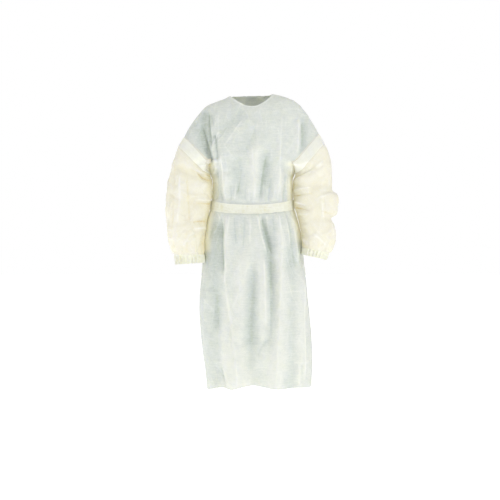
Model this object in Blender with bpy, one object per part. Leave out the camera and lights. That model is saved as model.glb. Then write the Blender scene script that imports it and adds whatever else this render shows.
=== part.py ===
"""Isolation gown of thin nonwoven cloth in its worn, filled-out form, hollow and open at neck, cuffs and hem.

The cloth is worked out as one skin: rings from the neck edge down to the armholes (the yoke), rings from the
armholes down to the hem (the body), and rings down each sleeve. Folds move the skin in and out. The skin is then
cut along the seams into panels, and each panel is thickened into a wall.

Tables are in millimetres and points in metres. The front faces -Y, +X is the gown's own left, +Z is up. The origin
lies between the shoulders, level with the sides of the neck edge.
"""

import math
from collections import namedtuple

import bmesh
import bpy
import numpy as np

MM = 0.001

# Cloth sizes, in millimetres. TRIM is the thickness of the belt, bands, cuffs and tab, and LIFT is how far out of
# the skin the middle of one of them lies.
CLOTH = 1.2
TRIM = 1.0
SEAM_GAP = 0.4
LAY_GAP = 0.5
LIFT = CLOTH / 2 + LAY_GAP + TRIM / 2
BACK_LAP_GAP = 1.6
BELT_WIDTH = 35.0
CUFF_GATHERS = 13
CUFF_GATHER_DEPTH = 1.6

# Belt line at the front, at the sides and at the back
BELT_FRONT_Z = -427.0
BELT_SIDE_Z = -413.0
BELT_BACK_Z = -404.0

# How many columns of points run round each stretch of the skin, and how many rows run down it
FRONT = 24
BACK = 12
SHOULDER = 14
UNDERARM = 6
LAP = 3
CHEST_ROWS = 6
BELT_ROWS = 2
SKIRT_ROWS = 14
BAND_ROWS = 2

# How far down from the armhole seam to its lower edge a sleeve band begins: on top of the arm, and under it
BAND_START_TOP = 0.11
BAND_START_UNDER = 0.6

# Where the armholes meet the front and the back, how far the seams dip and bow out under the arms, and how soon the
# yoke's rings drop from the shoulders to the front and back
ARMHOLE_X = 165.0
ARMHOLE_DIP = 34.0
ARMHOLE_BOW = 3.0
YOKE_DROP = 2.2
NECK_CORNER = math.radians(48)
BODY_CORNER = math.radians(62)
SLEEVE_CORNER = math.radians(115)

# How far a wall's points may lean at a sharp bend, as the cosine of the angle between its faces and its thickness
LEAST_SQUARE = 0.5

# Roundness of the plan outlines: 2 is an ellipse, more is squarer
BODY_SQUARENESS = 2.3
SLEEVE_SQUARENESS = 2.15

YokeRing = namedtuple("YokeRing", "left_x left_z right_x right_z front_y front_z back_y back_z")
YOKE = (
    YokeRing(79, 1, -83, -3, -86, -51, 72, 4),
    YokeRing(110, -8, -112, -18, -98, -67, 90, -16),
    YokeRing(143, -19, -142, -31, -107, -88, 103, -42),
    YokeRing(172, -34, -170, -47, -116, -112, 112, -74),
    YokeRing(196, -58, -196, -71, -124, -140, 117, -110),
    YokeRing(218, -90, -218, -101, -130, -170, 119, -150),
    YokeRing(236, -120, -237, -131, -133, -203, 118, -192),
    YokeRing(250, -145, -252, -157, -134, -237, 115, -235),
)

BodyRing = namedtuple("BodyRing", "z left_x right_x front_y back_y")
BODY = (
    BodyRing(-235, 163, -160, -134, 115),
    BodyRing(-300, 155, -151, -131, 108),
    BodyRing(-345, 151, -148, -127, 102),
    BodyRing(-395, 152, -149, -120, 98),
    BodyRing(-430, 158, -155, -121, 100),
    BodyRing(-470, 172, -168, -131, 114),
    BodyRing(-525, 184, -178, -142, 128),
    BodyRing(-581, 189, -182, -149, 136),
    BodyRing(-650, 195, -187, -154, 141),
    BodyRing(-750, 206, -194, -158, 145),
    BodyRing(-850, 218, -193, -161, 149),
    BodyRing(-950, 225, -185, -164, 152),
    BodyRing(-1100, 221, -168, -168, 156),
)

# The height of the hem along the front and along the back
HemPoint = namedtuple("HemPoint", "x z")
HEM_FRONT = (
    HemPoint(-168, -1098),
    HemPoint(-94, -1082),
    HemPoint(-71, -1088),
    HemPoint(-45, -1082),
    HemPoint(-19, -1075),
    HemPoint(4, -1072),
    HemPoint(37, -1078),
    HemPoint(67, -1085),
    HemPoint(116, -1087),
    HemPoint(169, -1085),
    HemPoint(221, -1089),
)
HEM_BACK = (
    HemPoint(-168, -1098),
    HemPoint(-100, -1091),
    HemPoint(-40, -1086),
    HemPoint(10, -1090),
    HemPoint(70, -1085),
    HemPoint(140, -1091),
    HemPoint(221, -1089),
)

# Each sleeve's rings below the lower edge of its band, from the outer side of the arm to the inner one
SleeveRing = namedtuple("SleeveRing", "inner_x inner_z outer_x outer_z depth centre_y")
SLEEVES = {
    "left": (
        SleeveRing(177, -291, 271, -182, 87, -7),
        SleeveRing(177, -308, 280, -201, 84, -7),
        SleeveRing(174, -325, 289, -222, 80, -8),
        SleeveRing(170, -345, 297, -255, 79, -10),
        SleeveRing(167, -362, 299, -296, 78, -12),
        SleeveRing(166, -378, 299, -335, 77, -14),
        SleeveRing(166, -392, 301, -362, 77, -17),
        SleeveRing(168, -406, 317, -376, 77, -20),
        SleeveRing(173, -424, 320, -412, 76, -23),
        SleeveRing(179, -442, 313, -450, 74, -26),
        SleeveRing(185, -458, 295, -461, 70, -29),
        SleeveRing(191, -480, 304, -486, 68, -32),
        SleeveRing(197, -504, 313, -514, 66, -35),
        SleeveRing(201, -530, 311, -548, 63, -38),
        SleeveRing(202, -555, 299, -578, 56, -41),
        SleeveRing(203, -572, 286, -592, 47, -43),
    ),
    "right": (
        SleeveRing(-176, -292, -274, -196, 87, -7),
        SleeveRing(-176, -308, -283, -218, 84, -7),
        SleeveRing(-172, -325, -292, -241, 82, -8),
        SleeveRing(-167, -345, -302, -275, 82, -10),
        SleeveRing(-163, -362, -309, -308, 81, -12),
        SleeveRing(-162, -378, -315, -340, 80, -14),
        SleeveRing(-163, -396, -319, -372, 79, -17),
        SleeveRing(-166, -414, -321, -402, 78, -20),
        SleeveRing(-171, -434, -322, -430, 76, -23),
        SleeveRing(-177, -456, -320, -458, 74, -26),
        SleeveRing(-183, -478, -318, -486, 71, -29),
        SleeveRing(-188, -502, -316, -514, 68, -32),
        SleeveRing(-191, -528, -311, -542, 65, -35),
        SleeveRing(-193, -554, -304, -566, 60, -38),
        SleeveRing(-194, -578, -296, -584, 53, -41),
        SleeveRing(-195, -597, -288, -599, 47, -43),
    ),
}

# The outer ends of the cuffs, and the rings down a cuff: how far along it each lies, its share of the full depth
# from front to back, and how much of the gathers' depth it has
CuffEnd = namedtuple("CuffEnd", "inner_x inner_z outer_x outer_z depth centre_y")
CUFFS = {
    "left": CuffEnd(201, -597, 275, -618, 40, -47),
    "right": CuffEnd(-193, -628, -284, -635, 42, -47),
}

CuffRing = namedtuple("CuffRing", "along narrowing gathers")
CUFF_RINGS = (CuffRing(0.015, 1.0, 0.3), CuffRing(0.45, 0.94, 1.0), CuffRing(1.0, 1.0, 1.0))

# A fold runs in a front view from its top (x0, z0) to its foot (x1, z1), bowed sideways by bend. Height is how far
# it stands out of the skin, or lies in it where negative, and width is how far it has faded to about a third.
Fold = namedtuple("Fold", "x0 z0 x1 z1 bend width height")
FRONT_FOLDS = (
    Fold(-20, -56, -140, -195, 8, 24, -7),
    Fold(-182, -40, -158, -300, 10, 17, -13),
    Fold(-215, -85, -183, -215, 5, 13, -8),
    Fold(192, -70, 188, -225, -4, 13, -9),
    Fold(8, -170, 14, -425, 4, 20, 8),
    Fold(52, -205, 28, -425, -6, 20, -8),
    Fold(-50, -230, -60, -425, 4, 22, -7),
    Fold(103, -270, 100, -425, 2, 18, 6),
    Fold(-96, -290, -92, -425, 0, 18, 6),
    Fold(-98, -435, -46, -1250, 34, 24, 11),
    Fold(-122, -435, -128, -900, -6, 26, -12),
    Fold(14, -435, 86, -1250, -14, 22, 10),
    Fold(26, -435, 66, -1010, -26, 24, -15),
    Fold(-8, -500, -58, -1250, 12, 26, 9),
    Fold(0, -600, -12, -1060, 0, 22, -9),
    Fold(24, -600, 42, -1040, 0, 18, 7),
    Fold(101, -435, 78, -1250, -4, 22, 10),
    Fold(142, -500, 138, -1250, -5, 24, -10),
    Fold(172, -640, 174, -1250, 0, 20, 8),
)
BACK_FOLDS = (
    Fold(-150, -60, -112, -330, -6, 22, -9),
    Fold(150, -60, 118, -330, 6, 22, -9),
    Fold(-90, -250, -72, -400, 0, 20, 7),
    Fold(84, -240, 70, -400, 0, 22, 7),
    Fold(-112, -425, -138, -1250, 8, 26, 12),
    Fold(-76, -425, -84, -1250, -6, 24, -12),
    Fold(-36, -425, -28, -1250, 6, 26, 9),
    Fold(34, -425, 48, -1250, -8, 24, -11),
    Fold(82, -425, 100, -1250, 6, 26, 12),
    Fold(124, -440, 150, -1250, -4, 24, -11),
)
SLEEVE_FRONT_FOLDS = {
    "left": (
        Fold(172, -330, 275, -268, 10, 13, 7),
        Fold(168, -352, 285, -330, 8, 12, -7),
        Fold(172, -372, 290, -352, 6, 13, 7),
        Fold(180, -420, 262, -428, -4, 13, -6),
        Fold(214, -455, 318, -462, 4, 12, -7),
        Fold(198, -480, 250, -585, -8, 14, 6),
    ),
    "right": (
        Fold(-172, -300, -262, -236, -8, 14, 7),
        Fold(-168, -318, -285, -262, -10, 14, -8),
        Fold(-166, -345, -280, -330, -8, 15, 6),
        Fold(-176, -412, -240, -396, -4, 13, -6),
        Fold(-188, -478, -250, -462, -4, 13, -6),
        Fold(-268, -330, -262, -570, 12, 18, 7),
    ),
}
SLEEVE_BACK_FOLDS = {
    "left": (
        Fold(176, -335, 280, -285, 8, 15, 7),
        Fold(172, -368, 285, -352, 6, 14, -7),
        Fold(188, -440, 300, -452, 4, 14, -7),
        Fold(210, -490, 250, -590, -8, 16, 7),
    ),
    "right": (
        Fold(-176, -325, -285, -280, -8, 15, 7),
        Fold(-172, -360, -290, -345, -6, 14, -7),
        Fold(-182, -440, -290, -430, -4, 15, -6),
        Fold(-250, -470, -232, -585, 6, 17, 7),
    ),
}

# How far from the belt a fold has its full height, how many rows of a sleeve follow its seam's folds, the share of a
# fold's length over which each of its ends fades out, and how far round to the side the front's and back's folds reach
PINCH_REACH = 60.0
SEAM_FADE_ROWS = 4
FOLD_FADE = 0.16
FOLD_FACING = 0.5

# The two hanging ends of the belt: the column each one starts from, the steps sideways it takes, one a row, and
# how many rows it is long
TailEnd = namedtuple("TailEnd", "column steps rows")
TAILS = {
    "left": TailEnd(-2, (0, 0, 0, 0, 0, 0, 0), 6),
    "right": TailEnd(0, (0, 0, 1, 1, 1, 2, 2), 5),
}
TAIL_COLUMNS = 2
TAIL_INSET = 0.8
KNOT_SIZE = (34.0, 17.0, 31.0)
NECK_TAB_INSET = 4.0

CLOTH_COLOUR = (0.93, 0.91, 0.72, 1.0)
TRIM_COLOUR = (0.94, 0.92, 0.68, 1.0)
CLOTH_ROUGHNESS = 0.72


def smooth(keys, values, at):
    """The values at the places `at` of a smooth curve through the points (keys, values)."""
    keys = np.asarray(keys, float)
    values = np.asarray(values, float)
    at = np.asarray(at, float)
    slopes = np.gradient(values, keys)
    span = np.clip(np.searchsorted(keys, at) - 1, 0, len(keys) - 2)
    width = keys[span + 1] - keys[span]
    t = np.clip((at - keys[span]) / width, 0, 1)
    start = (1 + 2 * t) * (1 - t) ** 2 * values[span] + t * (1 - t) ** 2 * width * slopes[span]
    end = t**2 * (3 - 2 * t) * values[span + 1] + t**2 * (t - 1) * width * slopes[span + 1]
    return start + end


def ramp(value):
    """0 below 0 and 1 above 1, with a soft start and end."""
    t = np.clip(value, 0, 1)
    return t * t * (3 - 2 * t)


def spread(stops, counts):
    """Places between the stops, with that many equal steps from each stop to the next. The last stop is left out."""
    pieces = [np.linspace(a, b, n, endpoint=False) for a, b, n in zip(stops, stops[1:], counts)]
    return np.concatenate(pieces)


def bow(value, squareness):
    """A sine or cosine squared off towards a rounded rectangle."""
    return np.sign(value) * np.abs(value) ** (2 / squareness)


def table_column(table, name):
    return [getattr(row, name) for row in table]


def yoke_ring(level):
    """The ring at that level of the YOKE table, from the back centre by way of the right shoulder, in millimetres."""
    levels = range(len(YOKE))
    ring = YokeRing(*[float(smooth(levels, table_column(YOKE, n), level)) for n in YokeRing._fields])
    share = level / levels[-1]
    armhole_corner = math.asin(ARMHOLE_X / YOKE[-1].left_x)
    corner = NECK_CORNER + (armhole_corner - NECK_CORNER) * share
    stops = (-math.pi, corner - math.pi, -corner, corner, math.pi - corner, math.pi)
    turn = spread(stops, (BACK, SHOULDER, FRONT, SHOULDER, BACK))
    across, along = np.sin(turn), np.cos(turn)
    front, left = along > 0, across > 0
    flat_from = 1 + (math.cos(armhole_corner) - 1) * share
    hang = np.minimum(np.abs(along) / flat_from, 1) ** YOKE_DROP
    side_z = np.where(left, ring.left_z, ring.right_z)
    middle_z = np.where(front, ring.front_z, ring.back_z)
    x = np.abs(across) * np.where(left, ring.left_x, ring.right_x)
    y = np.abs(along) * np.where(front, ring.front_y, ring.back_y)
    return np.stack([x, y, side_z + (middle_z - side_z) * hang], axis=1)


def underarm_points(front, back):
    """The seam points that run under the arm from the armhole's front corner to its back one, both left out."""
    t = (np.arange(1, UNDERARM) / UNDERARM)[:, None]
    sag = np.sin(math.pi * t) ** 0.8
    lowest = np.array([math.copysign(ARMHOLE_BOW, front[0]), 0, -ARMHOLE_DIP])
    return front + (back - front) * t + lowest * sag


def body_turns():
    """The angle of each column of the body from the front centre, from the back centre by way of the right side."""
    stops = (-math.pi, BODY_CORNER - math.pi, -BODY_CORNER, BODY_CORNER, math.pi - BODY_CORNER, math.pi)
    return spread(stops, (BACK, UNDERARM, FRONT, UNDERARM, BACK))


def belt_heights(turn):
    """The height of the belt's middle at each column."""
    middle = np.where(np.cos(turn) > 0, BELT_FRONT_Z, BELT_BACK_Z)
    return BELT_SIDE_Z + (middle - BELT_SIDE_Z) * np.abs(np.cos(turn)) ** 1.5


def body_plan(turn, z):
    """The points of the body's plan outlines at those angles and heights."""
    keys = -np.array(table_column(BODY, "z"), float)
    left, right, front, back = (
        smooth(keys, table_column(BODY, n), -z) for n in ("left_x", "right_x", "front_y", "back_y")
    )
    across, along = bow(np.sin(turn), BODY_SQUARENESS), bow(np.cos(turn), BODY_SQUARENESS)
    x = np.abs(across) * np.where(across > 0, left, right)
    y = np.abs(along) * np.where(along > 0, front, back)
    return np.stack([x, y, z], axis=1)


def hem_heights(turn):
    """The height of the hem at each column."""
    x = body_plan(turn, np.full(len(turn), float(HEM_FRONT[-1].z)))[:, 0]
    front = smooth(table_column(HEM_FRONT, "x"), table_column(HEM_FRONT, "z"), x)
    back = smooth(table_column(HEM_BACK, "x"), table_column(HEM_BACK, "z"), x)
    return np.where(np.cos(turn) > 0, front, back)


def body_rows(first):
    """The rings of the body below its first one, which follows the armholes and blends into them in two rows."""
    turn = body_turns()
    belt = belt_heights(turn)
    hem = hem_heights(turn)
    top, foot = belt + BELT_WIDTH / 2, belt - BELT_WIDTH / 2
    heights = [first[:, 2] + (top - first[:, 2]) * i / CHEST_ROWS for i in range(1, CHEST_ROWS + 1)]
    heights += [top + (foot - top) * i / BELT_ROWS for i in range(1, BELT_ROWS + 1)]
    heights += [foot + (hem - foot) * i / SKIRT_ROWS for i in range(1, SKIRT_ROWS + 1)]
    rings = []
    for row, z in enumerate(heights, 1):
        share = ramp(row / 2)
        kept = np.stack([first[:, 0], first[:, 1], z], axis=1)
        rings.append(kept * (1 - share) + body_plan(turn, z) * share)
    return rings


def tube_ring(ring, turn, squareness):
    """A ring of a sleeve or cuff: from its outer point round by the back to its inner one and on."""
    inner = np.array([ring.inner_x, ring.centre_y, ring.inner_z], float)
    outer = np.array([ring.outer_x, ring.centre_y, ring.outer_z], float)
    across, along = bow(np.cos(turn), squareness)[:, None], bow(np.sin(turn), squareness)[:, None]
    return (inner + outer) / 2 + (outer - inner) / 2 * across + np.array([0, ring.depth, 0]) * along


def sleeve_turns():
    """The angle of each column of a sleeve from its outer side, from the armhole's front corner by the back."""
    stops = (-SLEEVE_CORNER, SLEEVE_CORNER, 2 * math.pi - SLEEVE_CORNER)
    return spread(stops, (SHOULDER, UNDERARM))


def fold_shift(folds, points):
    """How far the folds move each point of a front view out of the skin, in millimetres."""
    x, z = points[:, 0], points[:, 2]
    shift = np.zeros(len(points))
    for fold in folds:
        run = np.array([fold.x1 - fold.x0, fold.z1 - fold.z0])
        length = np.linalg.norm(run)
        along = ((x - fold.x0) * run[0] + (z - fold.z0) * run[1]) / length**2
        aside = ((x - fold.x0) * run[1] - (z - fold.z0) * run[0]) / length
        aside = aside - 4 * fold.bend * along * (1 - along)
        fade = ramp(along / FOLD_FADE) * ramp((1 - along) / FOLD_FADE)
        shift += fold.height * fade * np.exp(-((aside / fold.width) ** 2))
    return shift


class Skin:
    """The gown's whole surface as points in millimetres, numbered grids of them, and a direction out at each."""

    def __init__(self):
        self.points = np.zeros((0, 3))
        self.triangles = np.zeros((0, 3), int)
        self.add_yoke()
        self.add_body()
        self.sleeves = {side: self.add_sleeve(side) for side in SLEEVES}
        self.outward = self.directions()
        self.fold()
        self.outward = self.directions()

    def add(self, points):
        first = len(self.points)
        self.points = np.concatenate([self.points, points])
        return np.arange(first, len(self.points))

    def add_yoke(self):
        self.yoke = np.array([self.add(yoke_ring(level)) for level in range(len(YOKE))])
        self.triangles = np.concatenate([self.triangles, grid_triangles(closed(self.yoke))])

    def add_body(self):
        last = self.yoke[-1]
        corner = {
            "right_back": last[BACK],
            "right_front": last[BACK + SHOULDER],
            "left_front": last[BACK + SHOULDER + FRONT],
            "left_back": last[BACK + 2 * SHOULDER + FRONT],
        }
        self.underarm = {
            side: self.add(
                underarm_points(self.points[corner[side + "_front"]], self.points[corner[side + "_back"]])
            )
            for side in SLEEVES
        }
        first = np.concatenate(
            [
                last[: BACK + 1],
                self.underarm["right"][::-1],
                last[BACK + SHOULDER : BACK + SHOULDER + FRONT + 1],
                self.underarm["left"],
                last[BACK + 2 * SHOULDER + FRONT :],
            ]
        )
        rings = [self.add(ring) for ring in body_rows(self.points[first])]
        self.body = np.array([first, *rings])
        self.triangles = np.concatenate([self.triangles, grid_triangles(closed(self.body))])

    def add_sleeve(self, side):
        last = self.yoke[-1]
        if side == "left":
            outer = last[BACK + SHOULDER + FRONT : BACK + 2 * SHOULDER + FRONT + 1]
        else:
            outer = last[BACK : BACK + SHOULDER + 1][::-1]
        first = np.concatenate([outer, self.underarm[side][::-1]])
        turn = sleeve_turns()
        rings = [tube_ring(ring, turn, SLEEVE_SQUARENESS) for ring in SLEEVES[side]]
        start = BAND_START_TOP + (BAND_START_UNDER - BAND_START_TOP) * ((1 - np.cos(turn)) / 2) ** 4
        band = []
        for row in range(BAND_ROWS):
            share = (start + (1 - start) * row / BAND_ROWS)[:, None]
            band.append(self.points[first] * (1 - share) + rings[0] * share)
        grid = np.array([first, *[self.add(ring) for ring in band + rings]])
        self.triangles = np.concatenate([self.triangles, self.sleeve_triangles(side, grid)])
        return grid

    def sleeve_triangles(self, side, grid):
        """A left sleeve's columns run the same way round as the body's, a right one's the other way."""
        triangles = grid_triangles(closed(grid))
        return triangles if side == "left" else triangles[:, ::-1]

    def directions(self):
        """The way out at each point, longer where the skin bends, so that a wall keeps its thickness there."""
        a, b, c = (self.points[self.triangles[:, i]] for i in range(3))
        facing = unit(np.cross(b - a, c - a))
        total, count = np.zeros_like(self.points), np.zeros(len(self.points))
        for i in range(3):
            np.add.at(total, self.triangles[:, i], facing)
            np.add.at(count, self.triangles[:, i], 1)
        way = unit(total)
        square = np.linalg.norm(total, axis=1) / count
        return way / np.maximum(square, LEAST_SQUARE)[:, None]

    def fold(self):
        """Moves the skin by its folds. They stop at the belt, and the body's fade out below the armhole seams."""
        shift = np.zeros(len(self.points))
        front = -unit(self.outward)[:, 1]
        facing = {"front": ramp(front / FOLD_FACING), "back": ramp(-front / FOLD_FACING)}
        torso = np.unique(np.concatenate([self.yoke.ravel(), self.body.ravel()]))
        for folds, way in ((FRONT_FOLDS, "front"), (BACK_FOLDS, "back")):
            shift[torso] += fold_shift(folds, self.points[torso]) * facing[way][torso]
        belt = belt_heights(body_turns())
        for row in self.body[1:]:
            shift[row] *= ramp((np.abs(self.points[row, 2] - belt) - BELT_WIDTH / 2) / PINCH_REACH)
        for side, grid in self.sleeves.items():
            for row, points in enumerate(grid[1:], 1):
                for table, way in ((SLEEVE_FRONT_FOLDS, "front"), (SLEEVE_BACK_FOLDS, "back")):
                    moved = fold_shift(table[side], self.points[points]) * facing[way][points]
                    shift[points] += moved * ramp((row - 1) / 3) * ramp((len(grid) - 1 - row) / 2)
                shift[points] += shift[grid[0]] * (1 - ramp((row - 1) / SEAM_FADE_ROWS))
        self.points = self.points + self.outward * shift[:, None]


    def lifted(self):
        """The skin's points for what lies on its panels."""
        return self.points + self.outward * LIFT


def closed(grid):
    """The grid with its first column again after its last, so that its rings close."""
    return np.concatenate([grid, grid[:, :1]], axis=1)


def grid_triangles(grid):
    """Two triangles for each cell of a grid whose rows run down and whose columns run towards the gown's left."""
    a, b, c, d = (g.ravel() for g in (grid[:-1, :-1], grid[:-1, 1:], grid[1:, 1:], grid[1:, :-1]))
    return np.concatenate([np.stack([a, d, c], axis=1), np.stack([a, c, b], axis=1)])


def round_columns(grid, first, last):
    """The grid's columns from first to last, counted round past the back centre where that runs over."""
    return grid[:, np.arange(first, last + 1) % grid.shape[1]]


def border_edges(triangles):
    """The edges that only one triangle has, in that triangle's direction."""
    edges = np.concatenate([triangles[:, [0, 1]], triangles[:, [1, 2]], triangles[:, [2, 0]]])
    there = {tuple(e) for e in edges.tolist()}
    return [e for e in there if (e[1], e[0]) not in there]


def unit(vectors):
    return vectors / np.linalg.norm(vectors, axis=1, keepdims=True)


def across(vectors, ways):
    """What is left of the vectors at right angles to the ways."""
    ways = unit(ways)
    return vectors - ways * (vectors * ways).sum(axis=1, keepdims=True)


def make_material(name, colour):
    material = bpy.data.materials.new(name)
    material.use_nodes = True
    shader = material.node_tree.nodes["Principled BSDF"]
    shader.inputs["Base Color"].default_value = colour
    shader.inputs["Roughness"].default_value = CLOTH_ROUGHNESS
    shader.inputs["Metallic"].default_value = 0.0
    return material


def add_object(name, mesh, colour):
    mesh.shade_smooth()
    mesh.materials.append(make_material(name, colour))
    obj = bpy.data.objects.new(name, mesh)
    bpy.context.scene.collection.objects.link(obj)
    return obj


def wall(name, points, outward, triangles, colour, thickness=CLOTH, inset=SEAM_GAP / 2):
    """A cloth wall: the triangles, moved half its thickness out and in, with its edge drawn in by inset.

    The rim's two triangles along an edge split it the same way in both of the panels that meet there.
    """
    used, places = np.unique(triangles, return_inverse=True)
    triangles = places.reshape(triangles.shape)
    points, outward = points[used].copy(), outward[used]
    border = border_edges(triangles)
    middles = points[triangles].mean(axis=1)
    inner_side = np.zeros_like(points)
    for i in range(3):
        np.add.at(inner_side, triangles[:, i], middles - points[triangles[:, i]])
    along = np.zeros_like(points)
    for a, b in border:
        along[[a, b]] += points[b] - points[a]
    edge = np.unique(border)
    way = across(across(inner_side[edge], outward[edge]), across(along[edge], outward[edge]))
    points[edge] += inset * unit(way)
    count = len(points)
    both = np.concatenate([points + outward * thickness / 2, points - outward * thickness / 2])
    faces = triangles.tolist() + (triangles[:, ::-1] + count).tolist()
    for a, b in border:
        if used[a] < used[b]:
            faces += [(b, a, a + count), (b, a + count, b + count)]
        else:
            faces += [(b, a, b + count), (a, a + count, b + count)]
    mesh = bpy.data.meshes.new(name)
    mesh.from_pydata((both * MM).tolist(), [], [list(map(int, face)) for face in faces])
    add_object(name, mesh, colour)


def make_front(skin):
    yoke = round_columns(skin.yoke, BACK + SHOULDER // 2, BACK + FRONT + SHOULDER * 3 // 2)
    body = round_columns(skin.body, BACK + UNDERARM // 2, BACK + FRONT + UNDERARM * 3 // 2)
    triangles = np.concatenate([grid_triangles(yoke), grid_triangles(body)])
    wall("front", skin.points, skin.outward, triangles, CLOTH_COLOUR)


def make_backs(skin):
    """The two back panels. The left one laps over the right one, which is drawn in under it."""
    yoke_end, body_end = skin.yoke.shape[1], skin.body.shape[1]
    grids = {
        "back_left": (
            round_columns(skin.yoke, BACK + FRONT + SHOULDER * 3 // 2, yoke_end + LAP),
            round_columns(skin.body, BACK + FRONT + UNDERARM * 3 // 2, body_end + LAP),
        ),
        "back_right": (
            round_columns(skin.yoke, -LAP, BACK + SHOULDER // 2),
            round_columns(skin.body, -LAP, BACK + UNDERARM // 2),
        ),
    }
    drawn_in = np.zeros(len(skin.points))
    under = CLOTH + BACK_LAP_GAP
    for grid in grids["back_right"]:
        column = np.arange(grid.shape[1]) - LAP
        drawn_in[grid] = under * np.clip((LAP + 2 - column) / 2, 0, 1)
    for name, (yoke, body) in grids.items():
        triangles = np.concatenate([grid_triangles(yoke), grid_triangles(body)])
        points = skin.points
        if name == "back_right":
            points = points - skin.outward * drawn_in[:, None]
        wall(name, points, skin.outward, triangles, CLOTH_COLOUR)


def make_sleeves(skin):
    """Each sleeve, and the doubled band that lies round its head just below the armhole seam."""
    for side, grid in skin.sleeves.items():
        wall("sleeve_" + side, skin.points, skin.outward, skin.sleeve_triangles(side, grid), CLOTH_COLOUR)
        band = skin.sleeve_triangles(side, grid[1 : BAND_ROWS + 2])
        wall("sleeve_band_" + side, skin.lifted(), skin.outward, band, TRIM_COLOUR, TRIM)


def make_cuffs():
    """The elasticated cuffs, gathered into even waves round their rings."""
    columns = 4 * CUFF_GATHERS
    turn = spread((0, 2 * math.pi), (columns,))
    waves = np.cos(CUFF_GATHERS * turn)[:, None] * CUFF_GATHER_DEPTH
    for side, end in CUFFS.items():
        start = SLEEVES[side][-1]
        points, outward = [], []
        for ring in CUFF_RINGS:
            place = CuffEnd(*[a + (b - a) * ring.along for a, b in zip(start, end)])
            place = place._replace(depth=place.depth * ring.narrowing)
            smooth_ring = tube_ring(place, turn, SLEEVE_SQUARENESS)
            way = unit((smooth_ring - smooth_ring.mean(axis=0)) * np.array([1, 1, 0]))
            points.append(smooth_ring + way * waves * ring.gathers)
            outward.append(way)
        grid = closed(np.arange(columns * len(CUFF_RINGS)).reshape(len(CUFF_RINGS), columns))
        triangles = grid_triangles(grid)
        if side == "right":
            triangles = triangles[:, ::-1]
        points, outward = np.concatenate(points), np.concatenate(outward)
        wall("cuff_" + side, points, outward, triangles, TRIM_COLOUR, TRIM)


def make_belt(skin):
    """The belt round the waist, lying on the panels, with a plain knot at the back and two hanging ends."""
    rows = skin.body[CHEST_ROWS : CHEST_ROWS + BELT_ROWS + 1]
    wall("belt", skin.lifted(), skin.outward, grid_triangles(closed(rows)), TRIM_COLOUR, TRIM)
    middle = skin.body[CHEST_ROWS + BELT_ROWS // 2, 0]
    face = skin.points[middle] + skin.outward[middle] * (LIFT + TRIM / 2 + LAY_GAP)
    make_knot(face + np.array([0, KNOT_SIZE[1] / 2, 0]))
    for name, tail in TAILS.items():
        make_tail(skin, "belt_end_" + name, tail)


def make_knot(centre):
    mesh = bpy.data.meshes.new("belt_knot")
    shape = bmesh.new()
    bmesh.ops.create_uvsphere(shape, u_segments=14, v_segments=9, radius=0.5)
    for vertex in shape.verts:
        vertex.co = [c * size * MM for c, size in zip(vertex.co, KNOT_SIZE)]
    shape.to_mesh(mesh)
    shape.free()
    knot = add_object("belt_knot", mesh, TRIM_COLOUR)
    knot.location = (centre * MM).tolist()


def make_tail(skin, name, tail):
    """A hanging belt end, made from the back's own points and moved out. It steps aside along their diagonals."""
    top = CHEST_ROWS + BELT_ROWS
    triangles = []
    for row in range(tail.rows):
        cells = tail.column + tail.steps[row] + np.arange(TAIL_COLUMNS)
        step = tail.steps[row + 1] - tail.steps[row]
        upper, lower = skin.body[top + row], skin.body[top + row + 1]
        columns = len(upper)
        for cell in cells:
            a, b = upper[cell % columns], upper[(cell + 1) % columns]
            d, c = lower[(cell + step) % columns], lower[(cell + step + 1) % columns]
            triangles += [(a, d, b), (b, d, c)] if step else [(a, d, c), (a, c, b)]
    wall(name, skin.lifted(), skin.outward, np.array(triangles), TRIM_COLOUR, TRIM, TAIL_INSET)


def make_neck_tab(skin):
    """The hook-and-loop tab that holds the back panels together at the neck edge."""
    grid = round_columns(skin.yoke, -1, LAP)[:2]
    wall("neck_tab", skin.lifted(), skin.outward, grid_triangles(grid), TRIM_COLOUR, TRIM, NECK_TAB_INSET)


def main():
    for obj in list(bpy.data.objects):
        bpy.data.objects.remove(obj)
    skin = Skin()
    make_front(skin)
    make_backs(skin)
    make_sleeves(skin)
    make_cuffs()
    make_belt(skin)
    make_neck_tab(skin)


main()
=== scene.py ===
"""Isolation gown of pale yellow nonwoven cloth, in the hollow, filled-out form that it has when it is worn.

The cloth is one skin, worked out in millimetres: rings from the neck edge down to the armholes (the yoke),
rings from the armholes down to the hem (the body), and rings down each sleeve. Folds, creases, gathers and
crumple move it in and out. The panels are cut from it along the seams, and each one becomes a thin shell.

The front faces -Y, +X is the gown's own left, +Z is up. The origin lies between the shoulders.
"""

import math
from collections import namedtuple
from functools import lru_cache

import bmesh
import bpy
import numpy as np
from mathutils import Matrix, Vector


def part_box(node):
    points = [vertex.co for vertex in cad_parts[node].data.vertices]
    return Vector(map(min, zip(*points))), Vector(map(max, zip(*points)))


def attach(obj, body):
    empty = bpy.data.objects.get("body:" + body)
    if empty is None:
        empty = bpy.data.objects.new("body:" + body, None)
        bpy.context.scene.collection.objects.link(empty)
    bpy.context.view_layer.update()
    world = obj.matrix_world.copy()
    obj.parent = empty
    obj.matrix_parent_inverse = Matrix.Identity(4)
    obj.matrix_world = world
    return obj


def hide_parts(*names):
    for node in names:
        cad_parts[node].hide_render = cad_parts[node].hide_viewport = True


bl_info = {
    "name": "Isolation gown",
    "version": (1, 0, 0),
    "blender": (4, 5, 0),
    "location": "3D View > Sidebar > Gown",
    "description": "Builds an isolation gown of thin nonwoven cloth over its solids",
    "category": "Object",
}

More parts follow.
